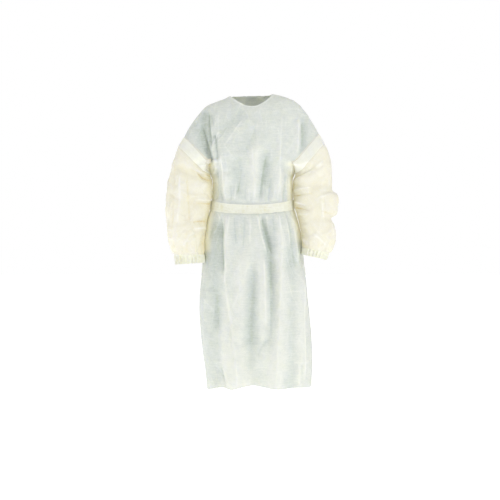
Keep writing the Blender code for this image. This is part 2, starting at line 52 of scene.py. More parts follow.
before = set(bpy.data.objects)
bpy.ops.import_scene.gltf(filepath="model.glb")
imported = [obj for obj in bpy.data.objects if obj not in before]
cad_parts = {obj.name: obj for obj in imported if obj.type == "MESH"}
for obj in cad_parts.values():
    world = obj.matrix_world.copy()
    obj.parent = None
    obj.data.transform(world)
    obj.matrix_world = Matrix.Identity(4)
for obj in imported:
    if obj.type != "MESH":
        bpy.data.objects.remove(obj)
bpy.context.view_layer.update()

MM = 0.001

# The skin's spacing: fine columns for each of the solids' columns, and how far apart the fine rows are, in
# millimetres
FINE = 6
YOKE_SPACING = 4.4
BODY_SPACING = 4.15
SLEEVE_SPACING = 3.6

# How many columns run round each stretch of the skin, as in the solids, and how many rows run down it
FRONT = 24
BACK = 12
SHOULDER = 14
UNDERARM = 6
LAP = 3
CHEST_ROWS = 6
BELT_ROWS = 2
SKIRT_ROWS = 14
BAND_ROWS = 2

# The belt's line at the front, the sides and the back, and where a sleeve's band starts over and under the
# arm
BELT_FRONT_Z = -427.0
BELT_SIDE_Z = -413.0
BELT_BACK_Z = -404.0
BELT_WIDTH = 35.0
BAND_START_TOP = 0.11
BAND_START_UNDER = 0.6

# Where the armholes meet the panels, how far the seams dip and bow out under the arms, and the corners'
# angles
ARMHOLE_X = 165.0
ARMHOLE_DIP = 34.0
ARMHOLE_BOW = 3.0
YOKE_DROP = 2.2
NECK_CORNER = math.radians(48)
BODY_CORNER = math.radians(62)
SLEEVE_CORNER = math.radians(115)
BODY_SQUARENESS = 2.3
SLEEVE_SQUARENESS = 2.15

YokeRing = namedtuple("YokeRing", "left_x left_z right_x right_z front_y front_z back_y back_z")
YOKE = (
    YokeRing(79, 1, -83, -3, -86, -51, 72, 4),
    YokeRing(110, -8, -112, -18, -98, -67, 90, -16),
    YokeRing(143, -19, -142, -31, -107, -88, 103, -42),
    YokeRing(172, -34, -170, -47, -116, -112, 112, -74),
    YokeRing(196, -58, -196, -71, -124, -140, 117, -110),
    YokeRing(218, -90, -218, -101, -130, -170, 119, -150),
    YokeRing(236, -120, -237, -131, -133, -203, 118, -192),
    YokeRing(250, -145, -252, -157, -134, -237, 115, -235),
)

BodyRing = namedtuple("BodyRing", "z left_x right_x front_y back_y")
BODY = (
    BodyRing(-235, 163, -160, -134, 115),
    BodyRing(-300, 155, -151, -131, 108),
    BodyRing(-345, 151, -148, -127, 102),
    BodyRing(-395, 152, -149, -120, 98),
    BodyRing(-430, 158, -155, -121, 100),
    BodyRing(-470, 172, -168, -131, 114),
    BodyRing(-525, 184, -178, -142, 128),
    BodyRing(-581, 189, -182, -149, 136),
    BodyRing(-650, 195, -187, -154, 141),
    BodyRing(-750, 206, -194, -158, 145),
    BodyRing(-850, 218, -193, -161, 149),
    BodyRing(-950, 225, -185, -164, 152),
    BodyRing(-1100, 221, -168, -168, 156),
)

HemPoint = namedtuple("HemPoint", "x z")
HEM_FRONT = (
    HemPoint(-168, -1098),
    HemPoint(-94, -1082),
    HemPoint(-71, -1088),
    HemPoint(-45, -1082),
    HemPoint(-19, -1075),
    HemPoint(4, -1072),
    HemPoint(37, -1078),
    HemPoint(67, -1085),
    HemPoint(116, -1087),
    HemPoint(169, -1085),
    HemPoint(221, -1089),
)
HEM_BACK = (
    HemPoint(-168, -1098),
    HemPoint(-100, -1091),
    HemPoint(-40, -1086),
    HemPoint(10, -1090),
    HemPoint(70, -1085),
    HemPoint(140, -1091),
    HemPoint(221, -1089),
)

SleeveRing = namedtuple("SleeveRing", "inner_x inner_z outer_x outer_z depth centre_y")
SLEEVES = {
    "left": (
        SleeveRing(177, -291, 271, -182, 87, -7),
        SleeveRing(177, -308, 280, -201, 84, -7),
        SleeveRing(174, -325, 289, -222, 80, -8),
        SleeveRing(170, -345, 297, -255, 79, -10),
        SleeveRing(167, -362, 299, -296, 78, -12),
        SleeveRing(166, -378, 299, -335, 77, -14),
        SleeveRing(166, -392, 301, -362, 77, -17),
        SleeveRing(168, -406, 317, -376, 77, -20),
        SleeveRing(173, -424, 320, -412, 76, -23),
        SleeveRing(179, -442, 313, -450, 74, -26),
        SleeveRing(185, -458, 295, -461, 70, -29),
        SleeveRing(191, -480, 304, -486, 68, -32),
        SleeveRing(197, -504, 313, -514, 66, -35),
        SleeveRing(201, -530, 311, -548, 63, -38),
        SleeveRing(202, -555, 299, -578, 56, -41),
        SleeveRing(203, -572, 286, -592, 47, -43),
    ),
    "right": (
        SleeveRing(-176, -292, -274, -196, 87, -7),
        SleeveRing(-176, -308, -283, -218, 84, -7),
        SleeveRing(-172, -325, -292, -241, 82, -8),
        SleeveRing(-167, -345, -302, -275, 82, -10),
        SleeveRing(-163, -362, -309, -308, 81, -12),
        SleeveRing(-162, -378, -315, -340, 80, -14),
        SleeveRing(-163, -396, -319, -372, 79, -17),
        SleeveRing(-166, -414, -321, -402, 78, -20),
        SleeveRing(-171, -434, -322, -430, 76, -23),
        SleeveRing(-177, -456, -320, -458, 74, -26),
        SleeveRing(-183, -478, -318, -486, 71, -29),
        SleeveRing(-188, -502, -316, -514, 68, -32),
        SleeveRing(-191, -528, -311, -542, 65, -35),
        SleeveRing(-193, -554, -304, -566, 60, -38),
        SleeveRing(-194, -578, -296, -584, 53, -41),
        SleeveRing(-195, -597, -288, -599, 47, -43),
    ),
}

CuffEnd = namedtuple("CuffEnd", "inner_x inner_z outer_x outer_z depth centre_y")
CUFFS = {
    "left": CuffEnd(201, -597, 275, -618, 40, -47),
    "right": CuffEnd(-193, -628, -284, -635, 42, -47),
}

# The solids' folds. A fold runs in a front view from its top (x0, z0) to its foot (x1, z1), bowed sideways
# by bend. Height is how far it stands out of the skin, or lies in it where negative.
Fold = namedtuple("Fold", "x0 z0 x1 z1 bend width height")
FRONT_FOLDS = (
    Fold(-20, -56, -140, -195, 8, 24, -7),
    Fold(-182, -40, -158, -300, 10, 13, -17),
    Fold(-215, -85, -183, -215, 5, 13, -8),
    Fold(192, -70, 188, -225, -4, 13, -9),
    Fold(8, -170, 14, -425, 4, 20, 8),
    Fold(52, -205, 28, -425, -6, 20, -8),
    Fold(-50, -230, -60, -425, 4, 22, -7),
    Fold(103, -270, 100, -425, 2, 18, 6),
    Fold(-96, -290, -92, -425, 0, 18, 6),
    Fold(-98, -435, -46, -1250, 34, 24, 11),
    Fold(-122, -435, -128, -900, -6, 26, -12),
    Fold(14, -435, 86, -1250, -14, 22, 10),
    Fold(26, -435, 66, -1010, -26, 24, -15),
    Fold(-8, -500, -58, -1250, 12, 26, 9),
    Fold(0, -600, -12, -1060, 0, 22, -9),
    Fold(24, -600, 42, -1040, 0, 18, 7),
    Fold(101, -435, 78, -1250, -4, 22, 10),
    Fold(142, -500, 138, -1250, -5, 24, -10),
    Fold(172, -640, 174, -1250, 0, 20, 8),
)
BACK_FOLDS = (
    Fold(-150, -60, -112, -330, -6, 22, -9),
    Fold(150, -60, 118, -330, 6, 22, -9),
    Fold(-90, -250, -72, -400, 0, 20, 7),
    Fold(84, -240, 70, -400, 0, 22, 7),
    Fold(-112, -425, -138, -1250, 8, 26, 12),
    Fold(-76, -425, -84, -1250, -6, 24, -12),
    Fold(-36, -425, -28, -1250, 6, 26, 9),
    Fold(34, -425, 48, -1250, -8, 24, -11),
    Fold(82, -425, 100, -1250, 6, 26, 12),
    Fold(124, -440, 150, -1250, -4, 24, -11),
)
SLEEVE_FRONT_FOLDS = {
    "left": (
        Fold(172, -330, 275, -268, 10, 13, 7),
        Fold(168, -352, 285, -330, 8, 12, -7),
        Fold(172, -372, 290, -352, 6, 13, 7),
        Fold(180, -420, 262, -428, -4, 13, -6),
        Fold(214, -455, 318, -462, 4, 12, -7),
        Fold(198, -480, 250, -585, -8, 14, 6),
    ),
    "right": (
        Fold(-172, -300, -262, -236, -8, 14, 7),
        Fold(-168, -318, -285, -262, -10, 14, -8),
        Fold(-166, -345, -280, -330, -8, 15, 6),
        Fold(-176, -412, -240, -396, -4, 13, -6),
        Fold(-188, -478, -250, -462, -4, 13, -6),
        Fold(-268, -330, -262, -570, 12, 18, 7),
    ),
}
SLEEVE_BACK_FOLDS = {
    "left": (
        Fold(176, -335, 280, -285, 8, 15, 7),
        Fold(172, -368, 285, -352, 6, 14, -7),
        Fold(188, -440, 300, -452, 4, 14, -7),
        Fold(210, -490, 250, -590, -8, 16, 7),
    ),
    "right": (
        Fold(-176, -325, -285, -280, -8, 15, 7),
        Fold(-172, -360, -290, -345, -6, 14, -7),
        Fold(-182, -440, -290, -430, -4, 15, -6),
        Fold(-250, -470, -232, -585, 6, 17, 7),
    ),
}

# Creases too fine for the solids. They run as the folds do, with a crest as sharp as CREST_RADIUS, and fall
# away over a distance of their own on the side of the gown's right (right) and of its left (left).
Crease = namedtuple("Crease", "x0 z0 x1 z1 bend right left height")

# The same, marked on the photo: its ends and its bend are in pixels, across and down, and the rest in
# millimetres. ORIGIN_PIXEL is where the origin lies there, PIXEL is what a pixel spans at its distance, and
# EYE is the camera's place. The depths are those of the cloth that is marked, and are taken as level.
Mark = namedtuple("Mark", "across0 down0 across1 down1 bend right left height")
ORIGIN_PIXEL = (252, 95)
PIXEL = 3.75
EYE = (-7.5, -5000.0, -581.0)
FRONT_DEPTH = -140.0
SLEEVE_DEPTH = -75.0
FRONT_MARKS = (
    Mark(243, 118, 226, 143, 0, 9, 9, 2.5),
    Mark(256, 125, 245, 153, 0, 16, 16, -4),
    Mark(252, 145, 255, 200, 0, 9, 14, 4),
    Mark(267, 155, 259, 201, 0, 12, 15, -6),
    Mark(242, 167, 237, 195, 0, 14, 14, -3),
    Mark(218, 109, 218, 150, 0, 4, 7, 1.6),
    Mark(218, 148, 225.5, 202, 1, 5, 9, 3),
    Mark(214, 165, 222, 202, 0, 12, 6, -4),
    Mark(282, 110, 281, 165, 0, 7, 4, 1.4),
    Mark(281, 162, 277, 202, 0, 7, 5, 2.6),
    Mark(225, 134, 209, 150, -1.5, 4, 4, 1.5),
    Mark(226.5, 212, 225, 287, 1, 4, 10, 6.5),
    Mark(225, 285, 238.5, 389, 2, 5, 10, 6),
    Mark(220.5, 214, 211, 234, 0, 7, 7, 3.5),
    Mark(215, 214, 206, 240, 0, 8, 8, -3),
    Mark(271.5, 254, 271, 342, 0, 12, 9, -4.5),
    Mark(270.5, 338, 258, 357, -2, 12, 10, -4),
    Mark(241.5, 252, 237.5, 313, 0, 18, 16, 5),
    Mark(263.5, 254, 265.5, 330, 0, 9, 9, 4),
    Mark(279, 212, 280.5, 250, 0, 6, 4, 3),
    Mark(280.5, 248, 279.3, 312, 0, 6, 4, 2.4),
    Mark(279.3, 310, 274, 388, 0, 6, 6, 2.5),
    Mark(288.5, 214, 297.6, 270, 0, 6, 6, -4),
    Mark(292, 213, 300, 262, 0, 6, 6, 2.5),
    Mark(285, 214, 291, 246, 0, 5, 5, 2),
    Mark(303, 272, 304.2, 386, 0, 6, 8, 2.5),
    Mark(297.6, 363, 298.3, 386, 0, 4, 4, 2.5),
    Mark(301, 362, 301.5, 386, 0, 5, 5, -2.5),
    Mark(220, 366, 228.5, 388, 0, 4, 7, -3.5),
    Mark(223.5, 366, 233, 388, 0, 7, 6, 2),
    Mark(203, 299, 213, 311, 0, 4, 4, 1.5),
    Mark(230, 214, 227, 240, 0, 6, 6, 2.5),
    Mark(234, 214, 236, 245, 0, 7, 7, -3),
    Mark(239, 214, 240, 236, 0, 5, 5, 1.5),
    Mark(245, 214, 243, 250, 0, 7, 7, -2.5),
    Mark(250, 214, 250, 244, 0, 5, 5, 2),
    Mark(266, 214, 270, 235, 0, 5, 5, 2),
    Mark(273, 214, 275, 250, 0, 6, 6, -2.5),
    Mark(231, 201, 230, 183, 0, 5, 5, -2),
    Mark(234.5, 201, 236, 176, 0, 6, 6, 2),
    Mark(245, 201, 246, 180, 0, 6, 6, -2),
    Mark(249, 201, 249, 186, 0, 4, 4, 1.5),
    Mark(263, 201, 264, 183, 0, 5, 5, 2),
    Mark(268, 201, 272, 176, 0, 6, 6, -2.5),
    Mark(273, 201, 275, 184, 0, 4, 4, 1.5),
    Mark(284, 201, 287, 172, 0, 7, 7, -2.5),
    Mark(288.5, 201, 290, 180, 0, 5, 5, 1.5),
    Mark(215, 201, 213, 178, 0, 6, 6, -3),
)
FRONT_CREASES = (
    Crease(-168, -54, -155, -200, 0, 10, 8, -12),
    Crease(-196, -106, -156, -240, 4, 7, 6, -8),
    Crease(-140, -146, -131, -248, 0, 9, 6, -7),
    Crease(-116, -142, -152, -204, 6, 4, 4, 3),
    Crease(-156, -66, -140, -128, 0, 6, 6, -2),
    Crease(-152, -107, -149, -228, 0, 5, 6, 1.5),
    Crease(170, -92, 172, -215, 0, 9, 7, 5),
    Crease(188, -98, 194, -202, 0, 4, 8, -4),
    Crease(-116, -446, -106, -676, 0, 13, 5, -9),
    Crease(-142, -452, -150, -770, 0, 26, 20, -5),
    Crease(-136, -690, -118, -1090, 0, 34, 24, -4.5),
    Crease(-24, -920, -16, -1120, 0, 34, 30, 6),
    Crease(20, -443, 55, -596, 4, 6, 5, 5),
    Crease(34, -450, 78, -603, 4, 7, 10, -7),
    Crease(9, -641, -6, -945, 0, 20, 18, -4.5),
    Crease(128, -620, 132, -1086, 0, 34, 34, 6.5),
    Crease(-200, -738, -98, -733, 0, 4, 4, 1.2),
    Crease(100, -733, 215, -733, 0, 4, 4, 1.2),
    Crease(-165, -993, -60, -986, 0, 4, 4, 1.2),
    Crease(148, -993, 212, -993, 0, 4, 4, 1.2),
)
BACK_CREASES = (
    Crease(-118, -60, -116, -380, 0, 6, 4, 1.6),
    Crease(112, -60, 110, -380, 0, 4, 6, 1.6),
    Crease(-60, -90, -100, -190, -4, 9, 9, -3),
    Crease(58, -100, 96, -200, 4, 9, 9, -3),
    Crease(-40, -230, -52, -385, 0, 9, 6, -4),
    Crease(22, -250, 34, -385, 0, 8, 8, 3),
    Crease(96, -260, 92, -385, 0, 7, 7, -3),
    Crease(-116, -425, -108, -1084, 6, 5, 9, 3.5),
    Crease(110, -425, 118, -1084, -6, 9, 5, 3),
    Crease(-60, -430, -68, -600, 0, 6, 6, -4),
    Crease(-22, -430, -14, -560, 0, 6, 6, 2.5),
    Crease(46, -430, 60, -640, 0, 7, 7, -4.5),
    Crease(66, -430, 76, -560, 0, 5, 5, 2.5),
    Crease(-94, -430, -102, -560, 0, 5, 5, 2.5),
    Crease(-150, -738, 150, -733, 0, 4, 4, 1.2),
    Crease(-140, -993, 170, -990, 0, 4, 4, 1.2),
    Crease(20, -720, 10, -1060, 4, 8, 8, -3),
    Crease(-60, -820, -50, -1070, 0, 6, 8, 2.5),
)
SLEEVE_MARKS = {
    "right": (
        Mark(212.4, 176, 189, 168, 1, 6, 6, -6),
        Mark(213, 187, 195, 171.4, 0, 6, 5, -6.5),
        Mark(212, 181, 193, 168, 0, 5, 5, 4.5),
        Mark(212, 200, 194, 200, 0, 4, 6, 3.5),
        Mark(213, 204, 196, 203, 0, 5, 5, -4.5),
        Mark(204, 227, 191, 229, 0, 5, 5, 3),
        Mark(206, 221, 192, 222, 0, 6, 6, -3),
        Mark(192.6, 229, 183, 247, 0, 5, 5, 2.5),
        Mark(188, 240, 184, 257, 0, 5, 5, -2.5),
        Mark(196, 236, 194, 256, 0, 4, 4, 2),
        Mark(201, 234, 200, 254, 0, 4, 4, -2),
        Mark(174, 160, 172, 232, 1, 7, 7, -3),
        Mark(180, 172, 178, 224, 1, 8, 8, 3),
        Mark(187, 176, 190, 224, 0, 9, 9, -3.5),
    ),
    "left": (
        Mark(293.4, 188.5, 324.7, 159.4, 1.5, 6, 6, 5),
        Mark(293, 185, 318, 164, 1, 6, 6, -5.5),
        Mark(292.3, 192, 312, 187, 0.5, 4, 5, 4.5),
        Mark(293, 196, 314, 193, 0, 5, 5, -5.5),
        Mark(293.4, 200, 309, 207, 0.5, 4, 5, 3),
        Mark(295, 206, 311, 212, 0, 5, 5, -4.5),
        Mark(297, 214, 311, 214, 0, 4, 4, 2.5),
        Mark(303, 236, 310.5, 252, 0, 4, 4, -4),
        Mark(305.5, 235, 313, 251, 0, 4, 4, 3),
        Mark(302, 243, 306, 253, 0, 3, 3, -2.5),
        Mark(334, 193, 318, 198, 0, 5, 5, 2.5),
        Mark(335, 215, 320, 211, 0, 5, 5, -3),
        Mark(331, 222, 333, 236, 0, 6, 6, 2.5),
        Mark(315, 233, 326, 246, 0, 5, 5, 2.5),
        Mark(318, 241, 322, 255, 0, 4, 4, -2.5),
        Mark(310, 240, 314, 256, 0, 4, 4, 2),
        Mark(321, 199, 324, 228, 0, 8, 8, 3),
        Mark(336, 163, 332, 190, 0, 7, 7, -3),
    ),
}

# How far from the belt a fold, and a crease, has its full height
PINCH_REACH = 60.0
CREASE_PINCH_REACH = 14.0

# The share of a fold's length over which its ends fade out, how squarely the cloth has to face the front or
# the back to be folded, how sharp crests are, how many of the solids' rows of a sleeve follow its seam's
# folds, and the share that each sleeve has of its own folds' height
FOLD_FADE = 0.16
FOLD_FACING = 0.5
CREST_RADIUS = 2.5
SEAM_FADE_ROWS = 4
SLEEVE_FOLDING = {"right": 0.85, "left": 0.5}

# A crease this high has the strongest painted highlight on its crest, or painted shade where it lies in, and
# this much of the cloth to each side of it is painted. A crease this broad has no painted crest, and a
# scattered one has this share of it. The painted crests show unevenly: by the usual amount, more or less by
# the swing, and within the range.
FULL_CREST = 3.2
CREST_WIDTH = 2.6
BROAD_CREASE = 15.0
SCATTER_CREST = 0.35
CREST_USUAL = 0.75
CREST_SWING = 0.5
CREST_RANGE = (0.1, 1.2)

# How far a fold stands out where the cloth is painted palest and yellowest, a painted highlight, with painted
# shade where it lies in, and the least and most of that in shares. Sleeves show less of it, and their heads
# are painted at least so pale.
FULL_RELIEF = 9.0
RELIEF_RANGE = (-1.6, 1.0)
SLEEVE_RELIEF = 0.5
HEAD_RELIEF = 0.8

# Where the cloth under the arms is, how far round there it sags, and how far it sags in and down
UNDERARM_PLACE = (172.0, -246.0)
UNDERARM_REACH = 34.0
UNDERARM_SAG = (13.0, 19.0)

# The sleeves' inner sides lie against the torso from a top height down to a low one, over a fade at both.
# Cloth within reach of a sleeve's edge is drawn in and moved forward. Sleeve cloth within the shade's reach
# is darker by the tone, a painted shade, and torso cloth within that reach beside the sleeve is painted with
# the light that comes through it. Some room stays free between the two, and more of it at the belt.
ARM_REST_TOP = -244.0
ARM_REST_LOW = {"right": -598.0, "left": -556.0}
ARM_REST_FADE = 26.0
ARM_REST_REACH = 70.0
ARM_REST_SHADE = 34.0
ARM_REST_TONE = 1.2
ARM_REST_FORWARD = 16.0
ARM_REST_CLEARANCE = 1.2
BELT_CLEARANCE = 2.4

# The gap between them is measured in level slices: how far apart, half their height, from where the torso's
# side counts and how wide a strip of the sleeve does, and over how many slices the result is evened out
GAP_STEP = 6.0
GAP_SLICE = 5.0
GAP_TORSO_FROM = 80.0
GAP_STRIP = 25.0
GAP_EVENED = 5

# Soft facets of crumpled cloth: how far apart, how high on the body and on the sleeves, and how they are
# mixed
CrumpleLayer = namedtuple("CrumpleLayer", "size body sleeve ridged seed")
CRUMPLE = (
    CrumpleLayer(150, 2.4, 1.2, False, 11),
    CrumpleLayer(62, 0.8, 0.9, False, 12),
    CrumpleLayer(27, 0.2, 0.45, True, 13),
    CrumpleLayer(12, 0.12, 0.2, True, 14),
)

# How far the facets are drawn out upright on the body, and how far they are shifted on the sleeves, to
# differ there
CRUMPLE_UPRIGHT = (1.0, 1.0, 0.45)
CRUMPLE_SHIFT = 500.0

# Small creases left by folding and wear, scattered at random: how many, how long, wide and high, and how
# upright
Scatter = namedtuple("Scatter", "count length width height upright seed")
BODY_SCATTER = Scatter(420, (26, 110), (4, 10), 2.0, 1.1, 61)
SLEEVE_SCATTER = {
    "right": Scatter(150, (24, 80), (4, 10), 3.4, 0.1, 62),
    "left": Scatter(130, (24, 80), (4, 10), 2.8, 0.1, 63),
}

# Their least height and width as shares, how much they wander, how deep they reach through the hollow, and
# how blunt their crests are
SCATTER_LEAST_HEIGHT = 0.3
SCATTER_LEAST_WIDTH = 0.4
SCATTER_WANDER = 0.12
SCATTER_DEPTH = 45.0
SCATTER_BLUNTNESS = 1.5
SCATTER_BLUNT_BY = 1.2

# How unevenly the crests of the creases show
CREST_LAYER = CrumpleLayer(90, 0, 0, False, 15)

# Gathers of the body at the belt, and of the sleeves at their cuffs: spacing or number, height, how far
# they run, the flat stretch beside the belt or cuff, and their seeds
GATHER_SPACING = 30.0
BELT_GATHER = 1.5
BELT_GATHER_REACH = 46.0
BELT_GATHER_FLAT = 9.0
BELT_GATHER_SEED = 21
CUFF_GATHER = 2.6
CUFF_GATHER_NUMBER = (10, 24)
CUFF_GATHER_REACH = 70.0
CUFF_GATHER_FADE = 60.0
CUFF_GATHER_FLAT = 10.0
CUFF_GATHER_SEED = 31

# The shells, in millimetres. LIFT is how far out of the skin the middle of what lies on it is. The relief
# of the bands and the trim is a share, as the panels' is, and so is how far the neck edge counts as
# doubled.
CLOTH = 0.7
TRIM = 0.9
LIFT = 1.7
SEAM_GAP = 0.1
BACK_LAP = 2.8
WELT = 0.35
WELT_WIDTH = 4.0
BAND_RELIEF = 0.6
TRIM_RELIEF = -1.0
NECK_DOUBLED = 0.6

# How far the belt sags at the front and rises at the gown's left, where it is joined, how unevenly it lies,
# and its small creases, drawn out upright, with their share of its tone, which paints highlight on the raised
# creases and shade between them, and the tone of its edges
BELT_SAG = 5.5
BELT_JOIN_X = -37.0
BELT_LEFT_RISE = 3.0
BELT_SWAY = 1.3
BELT_SWAYS = CrumpleLayer(70, 0, 0, False, 51)
BELT_CREASE = 1.3
BELT_CREASE_TONE = 0.35
BELT_EDGE_RELIEF = -0.2
BELT_CREASES = CrumpleLayer(22, 0, 0, True, 52)
BELT_UPRIGHT = (1.0, 1.0, 0.35)

# Each part of a cuff: how far along, its share of the full depth, and its gathers' height. Then how many rows
# and columns of points it has.
CuffRing = namedtuple("CuffRing", "along narrowing gathers")
CUFF_RINGS = (
    CuffRing(0.0, 1.0, 0.5),
    CuffRing(0.12, 0.97, 1.6),
    CuffRing(0.45, 0.93, 2.0),
    CuffRing(0.8, 0.96, 1.8),
    CuffRing(1.0, 1.0, 1.9),
)
CUFF_ROWS = 13
CUFF_COLUMNS = 264

# How many gathers a cuff has, how unevenly far apart, how much smaller ruffles add, how they sway, and
# their seeds
CUFF_GATHERS = 26
CUFF_WANDER = 0.05
CUFF_RUFFLE = 0.35
CUFF_SWAY = 0.25
CUFF_SEEDS = (41, 43)

# The belt's knot: its size, how tightly it is pulled, half the strand's width and thickness, how it leans,
# its pleats' number and depth, how far its curve reaches before it is scaled, how finely it is made, and what
# each step along and round it spans in cloth coordinates
KNOT_SIZE = (44.0, 22.0, 42.0)
KNOT_PULL = (0.95, 0.8, 1.0)
KNOT_STRAND = (9.5, 2.8)
KNOT_LEAN = (0.35, 1.0, 0.2)
KNOT_PLEATS = 7
KNOT_PLEAT = 0.3
KNOT_LOOP = 2.6
KNOT_STEPS = 150
KNOT_SIDES = 28
KNOT_STEP = 1.4
KNOT_SIDE = 1.1

# The belt's hanging ends, from the columns of the back: how they wave, tuck under the knot, narrow, pleat,
# crease and pass over the belt
TailEnd = namedtuple("TailEnd", "column top_shift foot_shift rows knot_column")
TAILS = {
    "left": TailEnd(-2, 0, 0, 6, -0.35),
    "right": TailEnd(0, 0, 2, 5, 0.35),
}
TAIL_COLUMNS = 2
TAIL_WAVE = 2.4
TAIL_TUCK = 3
TAIL_GATHER_ROWS = 17
TAIL_NARROWING = 0.6
TAIL_PLEAT = 1.6
TAIL_OVER_BELT = 1.6
TAIL_CREASES = CrumpleLayer(34, 0, 0, True, 71)
TAIL_INSET = 0.8

# How far the neck tab's edge is drawn in
TAB_INSET = 0.5

# What the whole of a piece's UV map spans, in metres, and the angle from which an edge is sharp
CLOTH_UNIT = 1.25
SHARP_ANGLE = math.radians(65)

# How much a fold's relief and a crease's crest add to the tone, as painted shade and highlight, how fast the
# cloth takes on its painted fold shade below a tone of 0, how far a crest closes the web up, and the least
# share of a face that isn't seen through
RELIEF_TONE = 0.45
CREST_TONE = 0.5
FOLD_TONE = -2.0
CREST_CLOSES = 0.5
LEAST_SOLID = 0.3

# How each cloth looks. Clear is how much can be seen through a face where the web is thinnest. Glow is how
# much light spreads through a face, so that the cloth behind it isn't dark. The rest is the pattern of its
# web.
ClothLook = namedtuple("ClothLook", "name clear glow bond_pitch ribs clouds")
BODY_LOOK = ClothLook("Body cloth", 0.18, 0.5, 2.0, 1.0, 0.8)
SLEEVE_LOOK = ClothLook("Sleeve cloth", 0.18, 0.7, 2.0, 0.4, 0.3)
TRIM_LOOK = ClothLook("Doubled cloth", 0.05, 0.2, 2.0, 0.9, 1.2)

# A weld's deepest colour, as a share of the panels' pale one
WELD_DEPTH = 0.93

# The studio, in metres: how wide its floor is, and for each light its place, what it points at, its width,
# and which of the studio's powers it has
FLOOR_RADIUS = 40.0
Light = namedtuple("Light", "name place target size power")
LIGHTS = (
    Light("Key", (2.5, -2.9, 1.5), (0.0, 0.0, -0.55), 1.6, "key_power"),
    Light("Fill", (-3.0, -0.8, 0.1), (0.0, 0.0, -0.55), 2.0, "fill_power"),
    Light("Top", (0.0, -0.4, 3.2), (0.0, 0.0, -1.4), 3.5, "fill_power"),
)


def smooth(keys, values, at):
    """The values at the places `at` of a smooth curve through the points (keys, values)."""
    keys, values, at = (np.asarray(each, float) for each in (keys, values, at))
    slopes = np.gradient(values, keys, axis=0)
    span = np.clip(np.searchsorted(keys, at) - 1, 0, len(keys) - 2)
    width = keys[span + 1] - keys[span]
    t = np.clip((at - keys[span]) / width, 0, 1)
    more = (1,) * (values.ndim - 1)
    t, width = t.reshape(t.shape + more), width.reshape(width.shape + more)
    start = (1 + 2 * t) * (1 - t) ** 2 * values[span] + t * (1 - t) ** 2 * width * slopes[span]
    end = t**2 * (3 - 2 * t) * values[span + 1] + t**2 * (t - 1) * width * slopes[span + 1]
    return start + end


def ramp(value):
    """0 below 0 and 1 above 1, with a soft start and end."""
    t = np.clip(value, 0, 1)
    return t * t * (3 - 2 * t)


def spread(stops, counts):
    """Places between the stops, with so many equal steps to each next stop. The last stop is left out."""
    pieces = [np.linspace(a, b, n, endpoint=False) for a, b, n in zip(stops, stops[1:], counts)]
    return np.concatenate(pieces)


def bow(value, squareness):
    """A sine or cosine squared off towards a rounded rectangle."""
    return np.sign(value) * np.abs(value) ** (2 / squareness)


def table_column(table, name):
    return [getattr(row, name) for row in table]


def unit(vectors):
    return vectors / np.linalg.norm(vectors, axis=-1, keepdims=True)


def fine_rows(rings, spacing):
    """Smooth rings through the given ones, about that far apart, and which of them the given ones are."""
    rings = np.asarray(rings)
    steps = np.linalg.norm(np.diff(rings, axis=0), axis=2).mean(axis=1)
    keys = np.concatenate([[0.0], np.cumsum(steps)])
    counts = np.maximum(np.rint(steps / spacing).astype(int), 1)
    at = np.append(spread(keys, counts), keys[-1])
    return smooth(keys, rings, at), np.concatenate([[0], np.cumsum(counts)])


def yoke_ring(level):
    """The ring at that level of the YOKE table, from the back centre by way of the right shoulder."""
    levels = range(len(YOKE))
    ring = YokeRing(*[float(smooth(levels, table_column(YOKE, n), level)) for n in YokeRing._fields])
    share = level / levels[-1]
    armhole_corner = math.asin(ARMHOLE_X / YOKE[-1].left_x)
    corner = NECK_CORNER + (armhole_corner - NECK_CORNER) * share
    stops = (-math.pi, corner - math.pi, -corner, corner, math.pi - corner, math.pi)
    turn = spread(stops, [FINE * columns for columns in (BACK, SHOULDER, FRONT, SHOULDER, BACK)])
    across, along = np.sin(turn), np.cos(turn)
    front, left = along > 0, across > 0
    flat_from = 1 + (math.cos(armhole_corner) - 1) * share
    hang = np.minimum(np.abs(along) / flat_from, 1) ** YOKE_DROP
    side_z = np.where(left, ring.left_z, ring.right_z)
    middle_z = np.where(front, ring.front_z, ring.back_z)
    x = np.abs(across) * np.where(left, ring.left_x, ring.right_x)
    y = np.abs(along) * np.where(front, ring.front_y, ring.back_y)
    return np.stack([x, y, side_z + (middle_z - side_z) * hang], axis=1)


def underarm_points(front, back):
    """The seam's points under the arm, from the armhole's front corner to its back one, both left out."""
    count = UNDERARM * FINE
    t = (np.arange(1, count) / count)[:, None]
    sag = np.sin(math.pi * t) ** 0.8
    lowest = np.array([math.copysign(ARMHOLE_BOW, front[0]), 0, -ARMHOLE_DIP])
    return front + (back - front) * t + lowest * sag


def body_turns():
    """Each column's angle from the front centre, starting at the back centre and going by the right side."""
    stops = (-math.pi, BODY_CORNER - math.pi, -BODY_CORNER, BODY_CORNER, math.pi - BODY_CORNER, math.pi)
    return spread(stops, [FINE * columns for columns in (BACK, UNDERARM, FRONT, UNDERARM, BACK)])


def belt_heights(turn):
    """The height of the belt's middle at each column."""
    middle = np.where(np.cos(turn) > 0, BELT_FRONT_Z, BELT_BACK_Z)
    return BELT_SIDE_Z + (middle - BELT_SIDE_Z) * np.abs(np.cos(turn)) ** 1.5


def body_plan(turn, z):
    """The points of the body's plan outlines at those angles and heights."""
    keys = -np.array(table_column(BODY, "z"), float)
    left, right, front, back = (
        smooth(keys, table_column(BODY, n), -z) for n in ("left_x", "right_x", "front_y", "back_y")
    )
    across, along = bow(np.sin(turn), BODY_SQUARENESS), bow(np.cos(turn), BODY_SQUARENESS)
    x = np.abs(across) * np.where(across > 0, left, right)
    y = np.abs(along) * np.where(along > 0, front, back)
    return np.stack([x, y, z], axis=1)


